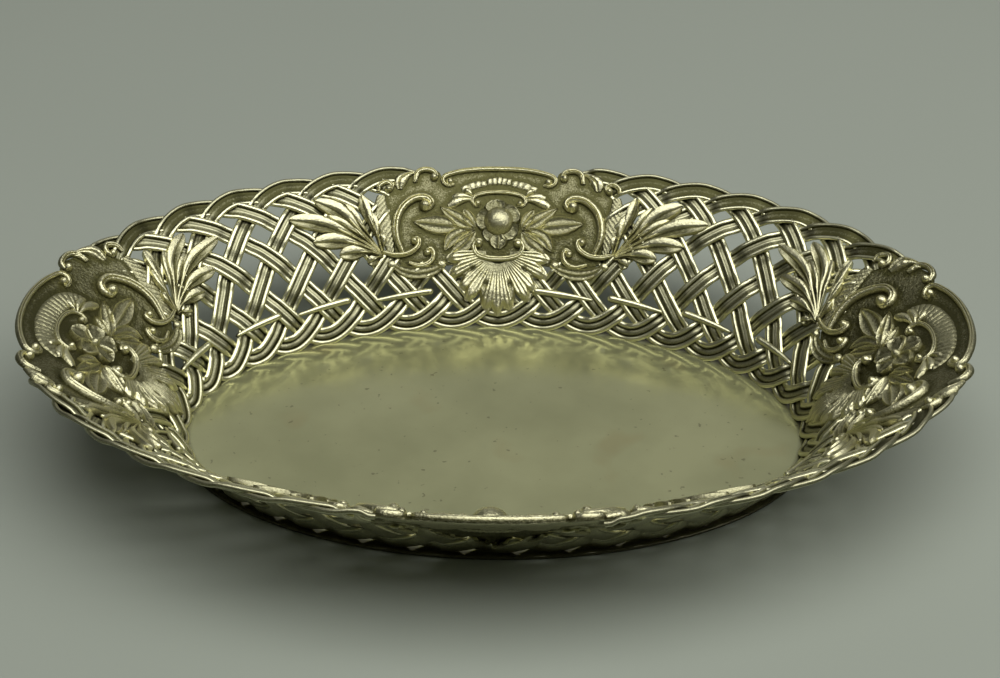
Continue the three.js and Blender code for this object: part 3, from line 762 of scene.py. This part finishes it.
TRUMPET = ((1.56, 0.982), (1.7, 0.962), (1.84, 0.925), (1.88, 0.872))
TRUMPET_HALF = (0.7, 1.1, 1.7, 2.5, 2.7, 2.4, 1.3)
TRUMPET_TALL = (0.9, 1.5, 2.1, 1.9, 1.0)
ROW = ((1.1, 0.372), (1.35, 0.335), (1.7, 0.322), (2.0, 0.342), (2.26, 0.392))
ROW_HALF = (1.0, 2.1, 2.7, 2.7, 2.1, 0.9)
ROW_TALL = (1.0, 1.3, 1.4, 1.3, 1.0)
ROW_ENDS = ((1.18, 0.368), (2.24, 0.388))
RUFFLE = ((2.22, 0.46), (2.25, 0.56), (2.27, 0.66), (2.3, 0.76), (2.26, 0.84))
RUFFLE_HALF = (1.3, 2.6, 3.1, 2.9, 1.6)
RUFFLE_TALL = (0.7, 1.0, 1.0, 0.8)

# the bud of the back and front cartouches, with its crimped row above and its tongue below
BUD = (0.0, 0.636)
SEPAL_REACH = (3.8, 9.0)
SEPAL_HALF = (2.6, 4.0, 4.7, 4.6, 3.6, 1.4)
SEPAL_TALL = (1.4, 1.6, 1.6, 1.3, 0.8)
CRIMPS = ((0.24, 0.89), (0.42, 0.88), (0.7, 0.85))
CRIMP_HALF = (1.4, 1.9, 1.4)
CRIMP_TALL = (1.0, 1.1, 0.9)
CRIMP_MIDDLE = ((-0.22, 0.9), (0.0, 0.908), (0.22, 0.9))
CRIMP_MIDDLE_HALF = (1.6, 2.0, 1.6)
CRIMP_MIDDLE_TALL = (1.0, 1.1, 1.0)
TONGUE = ((0.0, 0.545), (0.0, 0.51), (0.0, 0.46))
TONGUE_HALF = (2.6, 3.9, 4.0, 3.4, 1.4)
TONGUE_TALL = (0.9, 1.5, 1.6, 1.3, 0.7)

# the flower of the end cartouches, with the fluted fan row above it
FLOWER = (0.0, 0.65)
PETAL_REACH = (0.8, 8.8)
PETAL_HALF = (1.2, 2.6, 3.8, 4.4, 4.3, 3.4, 1.6)
PETAL_TALL = (1.0, 1.5, 1.9, 2.1, 1.9, 1.2)
FAN = (
    (-0.84, 0.8), (-0.66, 0.845), (-0.35, 0.866), (0.0, 0.872), (0.35, 0.866), (0.66, 0.845), (0.84, 0.8),
)
FAN_HALF = (2.2, 3.4, 4.0, 4.2, 4.3, 4.2, 4.0, 3.4, 2.2)
FAN_TALL = (0.9, 1.3, 1.4, 1.4, 1.3, 0.9)

PETALS = 5

# one pitch and one wall height in millimetres, near the middle of a cartouche
PITCH_LENGTH = 20.5
HEIGHT_LENGTH = 62.0
STRETCH_SHARE = 1.4


def stretch_up(points, crest):
    """Moves what is drawn above the middle of the cartouche up with its crest."""
    p = np.asarray(points, float).copy()
    p[..., 1] += (crest - SIDE_CREST) * STRETCH_SHARE * smooth(p[..., 1], 0.72, 0.95)
    return p


# the ground plate: its grid, its two faces off the wall's middle, and its wear
PLATE_ROWS = 64
PLATE_COLUMNS = 141
PLATE_FACE = 0.3
PLATE_BACK = 0.55
GROUND_WEAR = 0.04
GROUND_ROUGH = 0.05
SHADE_REACH = 1.3
SHADE_WEAR = -0.34
BACK_RELIEF = 0.6
BACK_WEAR = 0.6
# painted shade on the end cartouches: their wear is scaled down
END_SHADE = 0.86

# the dents' waves, in radians to a pitch and to a wall height
SLOW_WAVES = ((9, 17), (-7, 31))
FAST_WAVES = ((23, -47), (19, 59))
FAST_BEND = 2


def waves(p, v, to_pitch, to_height, shift=0.0):
    """One train of waves over the wall: the sine of a sum of both ways over it."""
    return np.sin(to_pitch * p + to_height * v + shift)


def ground_relief(p, v):
    """The beaten ground between the ornaments: shallow dents, as crossed waves of unlike lengths."""
    slow = waves(p, v, *SLOW_WAVES[0]) * waves(p, v, *SLOW_WAVES[1])
    fast = waves(p, v, *FAST_WAVES[0], FAST_BEND * slow) * waves(p, v, *FAST_WAVES[1])
    return GROUND_ROUGH * (slow + fast)


def apart(p, v, strokes):
    """Distance in millimetres from places on the wall to the edge of the nearest stroke.

    It is the least distance to the stroke's middle line less its half width there, so it is below
    nought inside a stroke.
    """
    place = np.stack([p * PITCH_LENGTH, v * HEIGHT_LENGTH], -1).reshape(-1, 1, 2)
    nearest = np.full(len(place), np.inf)
    for stroke in strokes:
        line = stroke[::2, :2] * (PITCH_LENGTH, HEIGHT_LENGTH)
        gap = np.linalg.norm(place - line, axis=-1) - stroke[::2, 2]
        nearest = np.minimum(nearest, gap.min(1))
    return nearest.reshape(p.shape)


def petals(skins, middle, at, reach, half, tall, first, lift, worn):
    """A ring of petals about a place on the wall: each runs outwards over a reach in millimetres."""
    for k in range(PETALS):
        turn = first + 2 * math.pi * k / PETALS
        away = np.linspace(reach[0], reach[1], 4)[:, None]
        line = np.asarray(at) + away * (math.cos(turn) / PITCH_LENGTH, math.sin(turn) / HEIGHT_LENGTH)
        ribbon(skins, middle, line, half, tall, petal_form, lift=lift, rings=16, worn=worn)


def flower(skins, middle, crest):
    """The fan row, petals and stud of an end cartouche."""
    flutes = crimped_form(waves=22, low=0.75, slant=0.0, dull=0.35)
    ribbon(skins, middle, stretch_up(FAN, crest), FAN_HALF, FAN_TALL, flutes, rings=240, worn=0.6)
    first = math.pi / 2
    petals(skins, middle, FLOWER, PETAL_REACH, PETAL_HALF, PETAL_TALL, first, lift=0.6, worn=0.75)
    knob(skins, middle, *FLOWER, radius=1.9, tall=2.9, lift=0.6, worn=0.6)


def bud(skins, middle, crest):
    """The crimped row, sepals, bud and tongue of a side cartouche."""
    short_row = crimped_form(waves=4, low=0.6)
    middle_row = crimped_form(waves=5, low=0.6)
    for line in both(stretch_up(CRIMPS, crest)):
        ribbon(skins, middle, line, CRIMP_HALF, CRIMP_TALL, short_row, rings=40, worn=0.8)
    line = stretch_up(CRIMP_MIDDLE, crest)
    ribbon(skins, middle, line, CRIMP_MIDDLE_HALF, CRIMP_MIDDLE_TALL, middle_row, rings=50, worn=0.8)
    first = math.pi / 6
    petals(skins, middle, BUD, SEPAL_REACH, SEPAL_HALF, SEPAL_TALL, first, lift=0.1, worn=0.36)
    knob(skins, middle, *BUD, radius=6.0, tall=4.8, worn=0.6)
    ribbon(skins, middle, TONGUE, TONGUE_HALF, TONGUE_TALL, leaf_form, lift=0.5, worn=0.75)


def bars(skins, middle, crest):
    """The scrolls of a cartouche: some whole across its middle, the rest once to each side."""
    for line, thick, ball, lift in MIDDLE_BARS:
        half = stretch_up(line, crest)
        whole = np.concatenate([half, half[-2::-1] * (-1.0, 1.0)])
        scroll(skins, middle, whole, thick, lift)
        for at in both(stretch_up(ball, crest)):
            ball_in_curl(skins, middle, at, thick, lift)
    for line, thick, ball, lift in SIDE_BARS:
        for flip in ((1.0, 1.0), (-1.0, 1.0)):
            scroll(skins, middle, stretch_up(line, crest) * flip, thick, lift)
            if ball is not None:
                ball_in_curl(skins, middle, stretch_up(ball, crest) * flip, thick, lift)


def strips(skins, middle, crest, side):
    """The leaves, lumps, trumpet, lower row and ruffle of a cartouche's one half: side is 1 or -1."""

    def place(line):
        return stretch_up(line, crest) * (side, 1.0)

    for line, half in LEAVES:
        widths = [half * k * LEAF_SPREAD for k in LEAF_HALF]
        ribbon(skins, middle, place(line), widths, LEAF_TALL, leaf_form, rings=36, worn=1.0)
    for line, half in LUMPS:
        widths = [half * k for k in LUMP_HALF]
        ribbon(skins, middle, place(line), widths, LUMP_TALL, round_form, worn=1.0)
    ribbon(skins, middle, place(TRUMPET), TRUMPET_HALF, TRUMPET_TALL, reeded_form, worn=1.0)
    ribbon(skins, middle, place(ROW), ROW_HALF, ROW_TALL, leaf_form, lift=0.3, rings=60)
    for end in ROW_ENDS:
        knob(skins, middle, side * end[0], end[1], radius=1.9, tall=1.5, lift=0.2, worn=0.8)
    strokes = crimped_form(waves=11, low=0.5, slant=1.3 * side)
    ribbon(skins, middle, place(RUFFLE), RUFFLE_HALF, RUFFLE_TALL, strokes, rings=110, worn=0.48)


def ground_plate(skins, middle, crest):
    """The matted plate under the ornaments: a grid between the cartouche's sides, its foot and its top.

    Its face is dented by the ground's relief and darkest beside the ornaments. Its back is beaten out
    behind them.
    """
    share = np.linspace(0, 1, PLATE_ROWS)[:, None]
    across = np.linspace(-1, 1, PLATE_COLUMNS)[None, :]
    p = across * cartouche_half(share)
    v = CARTOUCHE_BOTTOM + share * (cartouche_top(across * LOBE_OUTER, crest) - CARTOUCHE_BOTTOM)
    normal = inward(middle + p, v)
    surface = wall(middle + p, v)
    rise = PLATE_FACE + ground_relief(p, v)
    gap = apart(p, v, skins.strokes)
    shade = bell(np.maximum(gap, 0), 0.0, SHADE_REACH)
    beaten = 1 - smooth(gap, -0.9, 0.8)
    back = PLATE_BACK + BACK_RELIEF * beaten * (1 - smooth(share, 0.9, 0.96))
    face = surface + normal * rise[..., None]
    under = surface - normal * back[..., None]
    skins.slab(face, under, GROUND_WEAR + SHADE_WEAR * shade, BACK_WEAR * beaten)


def cartouche(name, middle, crest, at_end):
    """One relief cartouche: a matted plate with scrolls, leaves, crimped rows and a bud or flower."""
    skins = Skins()
    bars(skins, middle, crest)
    for side in (1.0, -1.0):
        strips(skins, middle, crest, side)
    if at_end:
        flower(skins, middle, crest)
    else:
        bud(skins, middle, crest)
    ground_plate(skins, middle, crest)
    # painted shade on the end cartouches
    if at_end:
        skins.wear = [wear * END_SHADE for wear in skins.wear]
    return skins.mesh(name)


# the shell: its root's height, one pitch and one wall height in millimetres below a cartouche
SHELL_ROOT = 0.44
SHELL_PITCH = 18.0
SHELL_RISE = 58.0
SHELL_EDGE = (
    (-92, 16.0), (-83, 19.4), (-75, 16.6), (-65, 20.6), (-56, 16.0), (-48, 20.2), (-42, 18.6), (-36, 21.8),
    (-25, 16.5), (-13, 21.6), (-6.5, 19.8), (0, 23.2), (6.5, 19.8), (13, 21.6), (25, 16.5), (36, 21.8),
    (42, 18.6), (48, 20.2), (56, 16.0), (65, 20.6), (75, 16.6), (83, 19.4), (92, 16.0),
)
SHELL_VALLEYS = (-58, -22, 22, 58)
SHELL_EYES = (11.5, 12.5, 12.5, 11.5)
FLUTE_STEP = 5.6
# painted shade on the end shells: their wear is scaled down, and the side shells keep theirs
SHELL_SHADE_SIDE = 1.0
SHELL_SHADE_END = 0.7
SHELL_TURN = 91
SHELL_COLUMNS = 183
SHELL_ROWS = 34
SHELL_START = 4.5
SHELL_LIFT = 1.0
SHELL_LEAST = 0.1
SHELL_CROWN = 0.9
CROWN_SHARE = 0.62
CROWN_SHIFT = 0.1
FLUTE_POWER = 0.8
FLUTE_RISE = 0.36
VALLEY_HALF = 3.2
VALLEY_DEPTH = 0.75
EYE_HALF = 4.0
EYE_LENGTH = 1.1
EYE_DEPTH = 1.0
TIP_THIN = 0.55
LAP_RISE = 0.9
LAP_BELOW = 0.3
SHELL_BACK = 0.5
SHELL_DULL = 0.25
FLUTE_WORN = 0.85
TIP_WORN = 0.4
VALLEY_DULL = 0.85


def shell(name, middle, worn):
    """The shell below a cartouche: rays fan out from the cup scroll to a lobed edge.

    The rays are crowned by a sine and carry fine flutes, the size of a cosine of the turn. Four valleys
    part them into five leafy groups, and each valley starts at a drilled eye. Low down the shell lifts
    to lap over the foot braid.
    """
    skins = Skins()
    turn = np.linspace(-SHELL_TURN, SHELL_TURN, SHELL_COLUMNS)[None, :]
    reach = np.linspace(0, 1, SHELL_ROWS)[:, None]
    at, length = np.array(SHELL_EDGE).T
    i = np.clip(np.searchsorted(at, turn, side="right") - 1, 0, len(at) - 2)
    share = (turn - at[i]) / (at[i + 1] - at[i])
    low_first = length[i] < length[i + 1]
    ease = np.where(low_first, np.sin(math.pi / 2 * share), 1 - np.cos(math.pi / 2 * share))
    edge = length[i] + (length[i + 1] - length[i]) * ease
    away = SHELL_START + (edge - SHELL_START) * reach
    angle = np.radians(turn)
    p = away * np.sin(angle) / SHELL_PITCH
    v = SHELL_ROOT - away * np.cos(angle) / SHELL_RISE
    flutes = np.abs(np.cos(math.pi * turn / FLUTE_STEP)) ** FLUTE_POWER
    crown = np.sin(math.pi * np.clip(reach * CROWN_SHARE + CROWN_SHIFT, 0, 1))
    rise = SHELL_LIFT + SHELL_CROWN * crown + FLUTE_RISE * flutes * smooth(reach, 0.05, 0.3)
    wear = SHELL_DULL + FLUTE_WORN * flutes * smooth(reach, 0.1, 0.4) + TIP_WORN * smooth(reach, 0.6, 0.9)
    for valley, eye in zip(SHELL_VALLEYS, SHELL_EYES):
        near = bell(turn, valley, VALLEY_HALF) * smooth(away, eye - 1.0, eye + 1.0)
        pit = np.exp(-(((turn - valley) / EYE_HALF) ** 2) - ((away - eye) / EYE_LENGTH) ** 2)
        rise = rise - VALLEY_DEPTH * near - EYE_DEPTH * pit
        wear = wear * (1 - VALLEY_DULL * np.clip(near + pit, 0, 1))
    lap = LAP_RISE * smooth(LAP_BELOW - v, 0.0, 0.12)
    rise = rise * (1 - TIP_THIN * smooth(reach, 0.82, 1.0)) + lap
    normal = inward(middle + p, v)
    surface = wall(middle + p, v)
    top = surface + normal * np.maximum(rise, SHELL_LEAST)[..., None]
    low = surface + normal * (lap - SHELL_BACK)[..., None]
    skins.slab(top[:, ::-1], low[:, ::-1], worn * wear[:, ::-1])
    return skins.mesh(name)


# the sprays: each leaf's line, from the root of the spray to its tip, and its half width
SPRAY_LEAVES = (
    (((2.4, 0.46), (2.46, 0.55), (2.5, 0.64), (2.53, 0.73)), 1.8),
    (((2.42, 0.46), (2.5, 0.6), (2.62, 0.74), (2.66, 0.85)), 2.1),
    (((2.44, 0.46), (2.68, 0.6), (2.86, 0.7), (3.02, 0.8)), 1.8),
    (((2.44, 0.46), (2.78, 0.6), (3.1, 0.74), (3.6, 0.85)), 3.1),
    (((2.44, 0.46), (2.83, 0.59), (3.1, 0.66), (3.42, 0.74)), 1.8),
    (((2.44, 0.46), (2.9, 0.57), (3.45, 0.68), (4.22, 0.76)), 3.2),
    (((2.44, 0.455), (2.8, 0.52), (3.25, 0.57), (3.84, 0.588)), 3.1),
    (((2.42, 0.45), (2.65, 0.475), (2.95, 0.487), (3.34, 0.485)), 2.8),
    (((2.4, 0.44), (2.5, 0.44), (2.6, 0.428), (2.76, 0.41)), 2.0),
    (((2.38, 0.46), (2.38, 0.5), (2.38, 0.54), (2.4, 0.59)), 1.5),
)
SPRAY_BASE = 0.3
SPRAY_LIFT = 1.15
SPRAY_WORN = 1.0
# painted shade on the front sprays: their wear is lowered to dim their highlights above the near rim
SPRAY_SHADE_NEAR = 0.55
SPOON_SPREAD_SIDE = 1.12
SPOON_SPREAD_END = 0.96
SPOON_TALL = (0.7, 0.7, 0.8, 0.95, 1.25, 1.5, 1.6, 1.4, 0.8)


def spray(name, middle, side, spread, worn):
    """A spray of spoon-shaped leaves that spring from one root and lie over the weave.

    Side is 1 or -1, and mirrors the leaves' lines and their scooped flanks.
    """
    skins = Skins()

    def form(s, t):
        return hollow_form(s, t * side)

    for line, half in SPRAY_LEAVES:
        points = np.asarray(line) * (side, 1.0)
        spoon = rounded_half(half * spread, slim=0.25, swell=(0.3, 0.72), round_share=(0.02, 0.24))
        ribbon(skins, middle, points, spoon, SPOON_TALL, form, SPRAY_BASE, SPRAY_LIFT, rings=40, worn=worn)
    return skins.mesh(name)


# finishes: noise scales are to the metre on object coordinates


def node_material(name):
    """A new node material, its node tree and the shader that it starts with."""
    material = bpy.data.materials.new(name)
    material.use_nodes = True
    tree = material.node_tree
    return material, tree, tree.nodes["Principled BSDF"]


def node(tree, kind, inputs, output, **settings):
    """Adds a node: its settings, then each input set to a value or linked to a socket. Gives one output."""
    added = tree.nodes.new("ShaderNode" + kind)
    for setting, value in settings.items():
        setattr(added, setting, value)
    for place, value in inputs.items():
        if isinstance(value, bpy.types.NodeSocket):
            tree.links.new(value, added.inputs[place])
        else:
            added.inputs[place].default_value = value
    return added.outputs[output]


def blend(tree, factor, under, over):
    """A blend of two colours by a factor, where the first colour may be a socket."""
    first = (*under, 1) if isinstance(under, tuple) else under
    return node(tree, "Mix", {"Factor": factor, "A": first, "B": (*over, 1)}, "Result", data_type="RGBA")


def noise(tree, scale, detail=3.0, source=None):
    """A noise pattern, on object coordinates unless another source is given."""
    if source is None:
        source = node(tree, "TexCoord", {}, "Object")
    return node(tree, "TexNoise", {"Scale": scale, "Detail": detail, "Vector": source}, "Fac")


def ramp(tree, source, low, high, out_low=0.0, out_high=1.0):
    """Stretches a value from one range to another and holds it at the ends."""
    ends = {"From Min": low, "From Max": high, "To Min": out_low, "To Max": out_high}
    return node(tree, "MapRange", {**ends, "Value": source}, "Result")


def maths(tree, kind, a, b):
    """One sum or product of two values, each a socket or a number."""
    return node(tree, "Math", {0: a, 1: b}, "Value", operation=kind)


def wear_of(tree):
    """The wear kept on each corner of a piece: one on worn ridges, nought or less in hollows and where
    shade is painted.
    """
    return node(tree, "Attribute", {}, "Fac", attribute_name="wear")


def bump(tree, height, strength, distance, shader):
    """Feeds a height pattern to the shader's normal."""
    inputs = {"Strength": strength, "Distance": distance, "Height": height}
    tree.links.new(node(tree, "Bump", inputs, "Normal"), shader.inputs["Normal"])


SOFT_RANGE = (0.3, 0.7)
PATCH_SCALE = 90.0
PATCH_LEVEL = 0.35
GRAIN_SCALE = 2000.0
GRAIN_LEVEL = 1.2
FULLY_WORN = 0.85
ROUGH_HIGH = 0.5
BUMP_STRENGTH = 0.6


def silver(name, bright, dark, matt, patchy, rough_low, bump_scale, bump_depth):
    """Worn silver: bright on worn ridges, brown-green tarnish in the hollows and painted shade where the
    wear is lowered for it, with fine bumps.

    The wear, stirred by noise in patches and in grains, runs from matt to fully worn. It leads from the
    dark colour to the bright one and from the rough finish to the smooth one.
    """
    material, tree, shader = node_material(name)
    worn = wear_of(tree)
    patch = PATCH_LEVEL * patchy
    grain = GRAIN_LEVEL * patchy
    patches = ramp(tree, noise(tree, PATCH_SCALE), *SOFT_RANGE, -patch, patch)
    grains = ramp(tree, noise(tree, GRAIN_SCALE), *SOFT_RANGE, -grain, grain)
    level = maths(tree, "ADD", worn, maths(tree, "ADD", patches, grains))
    level = ramp(tree, level, matt, FULLY_WORN)
    tree.links.new(blend(tree, level, dark, bright), shader.inputs["Base Color"])
    tree.links.new(ramp(tree, level, 0.0, 1.0, ROUGH_HIGH, rough_low), shader.inputs["Roughness"])
    shader.inputs["Metallic"].default_value = 1.0
    bump(tree, noise(tree, bump_scale, detail=4.0), BUMP_STRENGTH, bump_depth, shader)
    return material


CLOUD_SCALE = 22.0
CLOUD_RANGE = (0.35, 0.65)
DEEP_COLOUR = (0.36, 0.368, 0.196)
PALE_COLOUR = (0.45, 0.458, 0.25)
STAIN_SCALE = 34.0
STAIN_RANGE = (0.62, 0.72, 0.0, 0.4)
STAIN_COLOUR = (0.37, 0.325, 0.155)
PIT_SCALE = 420.0
PIT_RANGE = (0.73, 0.77, 0.0, 0.6)
PIT_COLOUR = (0.16, 0.14, 0.08)
PIT_DEPTH = -2.0
# painted shade, with tarnish, on the plate's ledge under the wall's foot
LEDGE_SHADE_RANGE = (1.0, 0.2)
LEDGE_SHADE_COLOUR = (0.09, 0.085, 0.045)
PLATE_METAL = 0.6
WIPE_SCALE = 60.0
WIPE_ROUGH = (0.11, 0.18)
HAIR_TURN = 0.5
HAIR_SCALE = (60.0, 2600.0, 60.0)
HAIR_STRENGTH = 0.25
HAIR_DEPTH = 0.00002


def floor_finish():
    """The polished plate gone softly olive: wiped blur, faint stains, hair scratches and small pits, with
    painted shade and tarnish on its ledge.
    """
    material, tree, shader = node_material("polished_floor_finish")
    coords = node(tree, "TexCoord", {}, "Object")
    clouds = ramp(tree, noise(tree, CLOUD_SCALE, 5.0, coords), *CLOUD_RANGE)
    wiped = blend(tree, clouds, DEEP_COLOUR, PALE_COLOUR)
    stains = ramp(tree, noise(tree, STAIN_SCALE, 2.0, coords), *STAIN_RANGE)
    stained = blend(tree, stains, wiped, STAIN_COLOUR)
    pits = ramp(tree, noise(tree, PIT_SCALE, 1.0, coords), *PIT_RANGE)
    pitted = blend(tree, pits, stained, PIT_COLOUR)
    # painted shade, with tarnish, on the ledge under the wall's foot
    ledge_shade = ramp(tree, wear_of(tree), *LEDGE_SHADE_RANGE)
    tree.links.new(blend(tree, ledge_shade, pitted, LEDGE_SHADE_COLOUR), shader.inputs["Base Color"])
    shader.inputs["Metallic"].default_value = PLATE_METAL
    rough = ramp(tree, noise(tree, WIPE_SCALE, 6.0, coords), *SOFT_RANGE, *WIPE_ROUGH)
    tree.links.new(rough, shader.inputs["Roughness"])
    turned = {"Vector": coords, "Rotation": (0, 0, HAIR_TURN), "Scale": HAIR_SCALE}
    hairs = noise(tree, 1.0, 2.0, node(tree, "Mapping", turned, "Vector"))
    height = maths(tree, "ADD", hairs, maths(tree, "MULTIPLY", pits, PIT_DEPTH))
    bump(tree, height, HAIR_STRENGTH, HAIR_DEPTH, shader)
    return material


def finish(piece, material, slot, *nodes):
    """Puts a finish on a piece and hides the CAD nodes it stands for. The slot is not used."""
    piece.data.materials.append(material)
    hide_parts(*nodes)


strap_silver = silver(
    "worn_strap_silver", bright=(0.84, 0.82, 0.53), dark=(0.074, 0.072, 0.028), matt=0.05, patchy=0.07,
    rough_low=0.31, bump_scale=1400.0, bump_depth=0.0001,
)
relief_silver = silver(
    "tarnished_relief_silver", bright=(0.8, 0.77, 0.48), dark=(0.104, 0.1, 0.038), matt=-0.1, patchy=0.16,
    rough_low=0.34, bump_scale=1000.0, bump_depth=0.0005,
)
leaf_silver = silver(
    "worn_leaf_silver", bright=(0.82, 0.79, 0.5), dark=(0.092, 0.088, 0.034), matt=0.02, patchy=0.1,
    rough_low=0.34, bump_scale=1200.0, bump_depth=0.0003,
)

for panel, start in (("back_right", 0), ("front_right", 10), ("front_left", 20), ("back_left", 30)):
    straps = weave_panel("woven_straps_" + panel, start)
    finish(straps, strap_silver, "lattice_silver", "lattice_panel_" + panel)

for place, middle in (("back", 0), ("right", 10), ("front", 20), ("left", 30)):
    at_end = place in ("right", "left")
    crest = END_CREST if at_end else SIDE_CREST
    # painted shade: the end shells get a lower wear
    shell_shade = SHELL_SHADE_END if at_end else SHELL_SHADE_SIDE
    spread = SPOON_SPREAD_END if at_end else SPOON_SPREAD_SIDE
    # painted shade on the front sprays
    spray_tone = SPRAY_SHADE_NEAR if place == "front" else SPRAY_WORN
    relief = cartouche("relief_cartouche_" + place, middle, crest, at_end)
    finish(relief, relief_silver, "relief_silver", "cartouche_" + place)
    fluted = shell("fluted_shell_" + place, middle, shell_shade)
    finish(fluted, relief_silver, "relief_silver", "shell_" + place)
    for letter, side in (("a", -1.0), ("b", 1.0)):
        ending = place + "_" + letter
        leaf = spray("leaf_spray_relief_" + ending, middle, side, spread, spray_tone)
        finish(leaf, leaf_silver, "relief_silver", "leaf_spray_" + ending)

finish(floor_plate(), floor_finish(), "polished_floor", "floor_plate")


# the studio, in metres: a pale table, soft lamps, an even surround and the camera

TABLE_SIZE = 6.0
TABLE_COLOUR = (0.39, 0.425, 0.355)
TABLE_SHADE = 0.97
TABLE_SCALE = 3.0
TABLE_ROUGH = 0.8
LAMP_REAR = (0.0, 1.0, 0.001)
SURROUND_COLOUR = (0.42, 0.45, 0.4, 1)
SURROUND_STRENGTH = 0.055


def table():
    """A wide plain pale floor under the basket."""
    half = TABLE_SIZE / 2
    corners = [(-half, -half, 0), (half, -half, 0), (half, half, 0), (-half, half, 0)]
    data = bpy.data.meshes.new("pale_table")
    data.from_pydata(corners, [], [(0, 1, 2, 3)])
    piece = in_scene("pale_table", data)
    material, tree, shader = node_material("pale_table_paint")
    shade = ramp(tree, noise(tree, TABLE_SCALE, 2.0), *SOFT_RANGE)
    low = tuple(c * TABLE_SHADE for c in TABLE_COLOUR)
    tree.links.new(blend(tree, shade, low, TABLE_COLOUR), shader.inputs["Base Color"])
    shader.inputs["Roughness"].default_value = TABLE_ROUGH
    data.materials.append(material)


def matrix_from(x, y, z, place):
    """A placing matrix from three axes and a point."""
    rows = [[x[i], y[i], z[i], place[i]] for i in range(3)]
    return Matrix([*rows, [0, 0, 0, 1]])


def soft_lamp(name, place, width, depth, power):
    """An oblong soft lamp at a place, turned towards the basket, with its width along the basket."""
    lamp = bpy.data.lights.new(name, "AREA")
    lamp.shape = "RECTANGLE"
    lamp.size = width
    lamp.size_y = depth
    lamp.energy = power
    holder = in_scene(name, lamp)
    back = unit(np.asarray(place, float))
    right = unit(np.cross(LAMP_REAR, back))
    up = np.cross(back, right)
    holder.matrix_world = matrix_from(right, up, back, place)


def surround():
    """An even pale grey surround."""
    sky = bpy.data.worlds.new("soft_surround")
    sky.use_nodes = True
    shade = sky.node_tree.nodes["Background"]
    shade.inputs["Color"].default_value = SURROUND_COLOUR
    shade.inputs["Strength"].default_value = SURROUND_STRENGTH
    bpy.context.scene.world = sky


# the camera: lens and sensor in millimetres, and its target and distance in the wall's millimetres
CAMERA_LENS = 60.47
CAMERA_SENSOR = 36.0
CAMERA_YAW = math.radians(-0.44)
CAMERA_DIP = math.radians(33.5)
CAMERA_ROLL = math.radians(-0.56)
CAMERA_TARGET = np.array([1.69, 0.0, 39.14])
CAMERA_DISTANCE = 574.5


def camera():
    """The camera at the photograph's angle: it looks at its target, dipped and slightly turned."""
    ahead = np.array([
        math.sin(CAMERA_YAW) * math.cos(CAMERA_DIP),
        math.cos(CAMERA_YAW) * math.cos(CAMERA_DIP),
        -math.sin(CAMERA_DIP),
    ])
    right = np.array([math.cos(CAMERA_YAW), -math.sin(CAMERA_YAW), 0.0])
    up = np.cross(right, ahead)
    x = math.cos(CAMERA_ROLL) * right - math.sin(CAMERA_ROLL) * up
    y = math.sin(CAMERA_ROLL) * right + math.cos(CAMERA_ROLL) * up
    place = (CAMERA_TARGET - CAMERA_DISTANCE * ahead) * MM
    data = bpy.data.cameras.new("photograph_view")
    data.lens = CAMERA_LENS
    data.sensor_width = CAMERA_SENSOR
    data.sensor_fit = "HORIZONTAL"
    eye = in_scene("photograph_view", data)
    eye.matrix_world = matrix_from(x, y, -ahead, place)
    bpy.context.scene.camera = eye


table()
surround()
soft_lamp("overhead_lamp", place=(0.45, -0.36, 1.75), width=3.0, depth=1.6, power=38.0)
soft_lamp("back_softbox", place=(0.0, 2.3, 1.55), width=2.4, depth=1.4, power=3.8)
soft_lamp("backdrop_glow", place=(0.0, 2.6, 0.6), width=4.4, depth=0.8, power=2.0)
camera()
bpy.context.scene.view_settings.view_transform = "Standard"
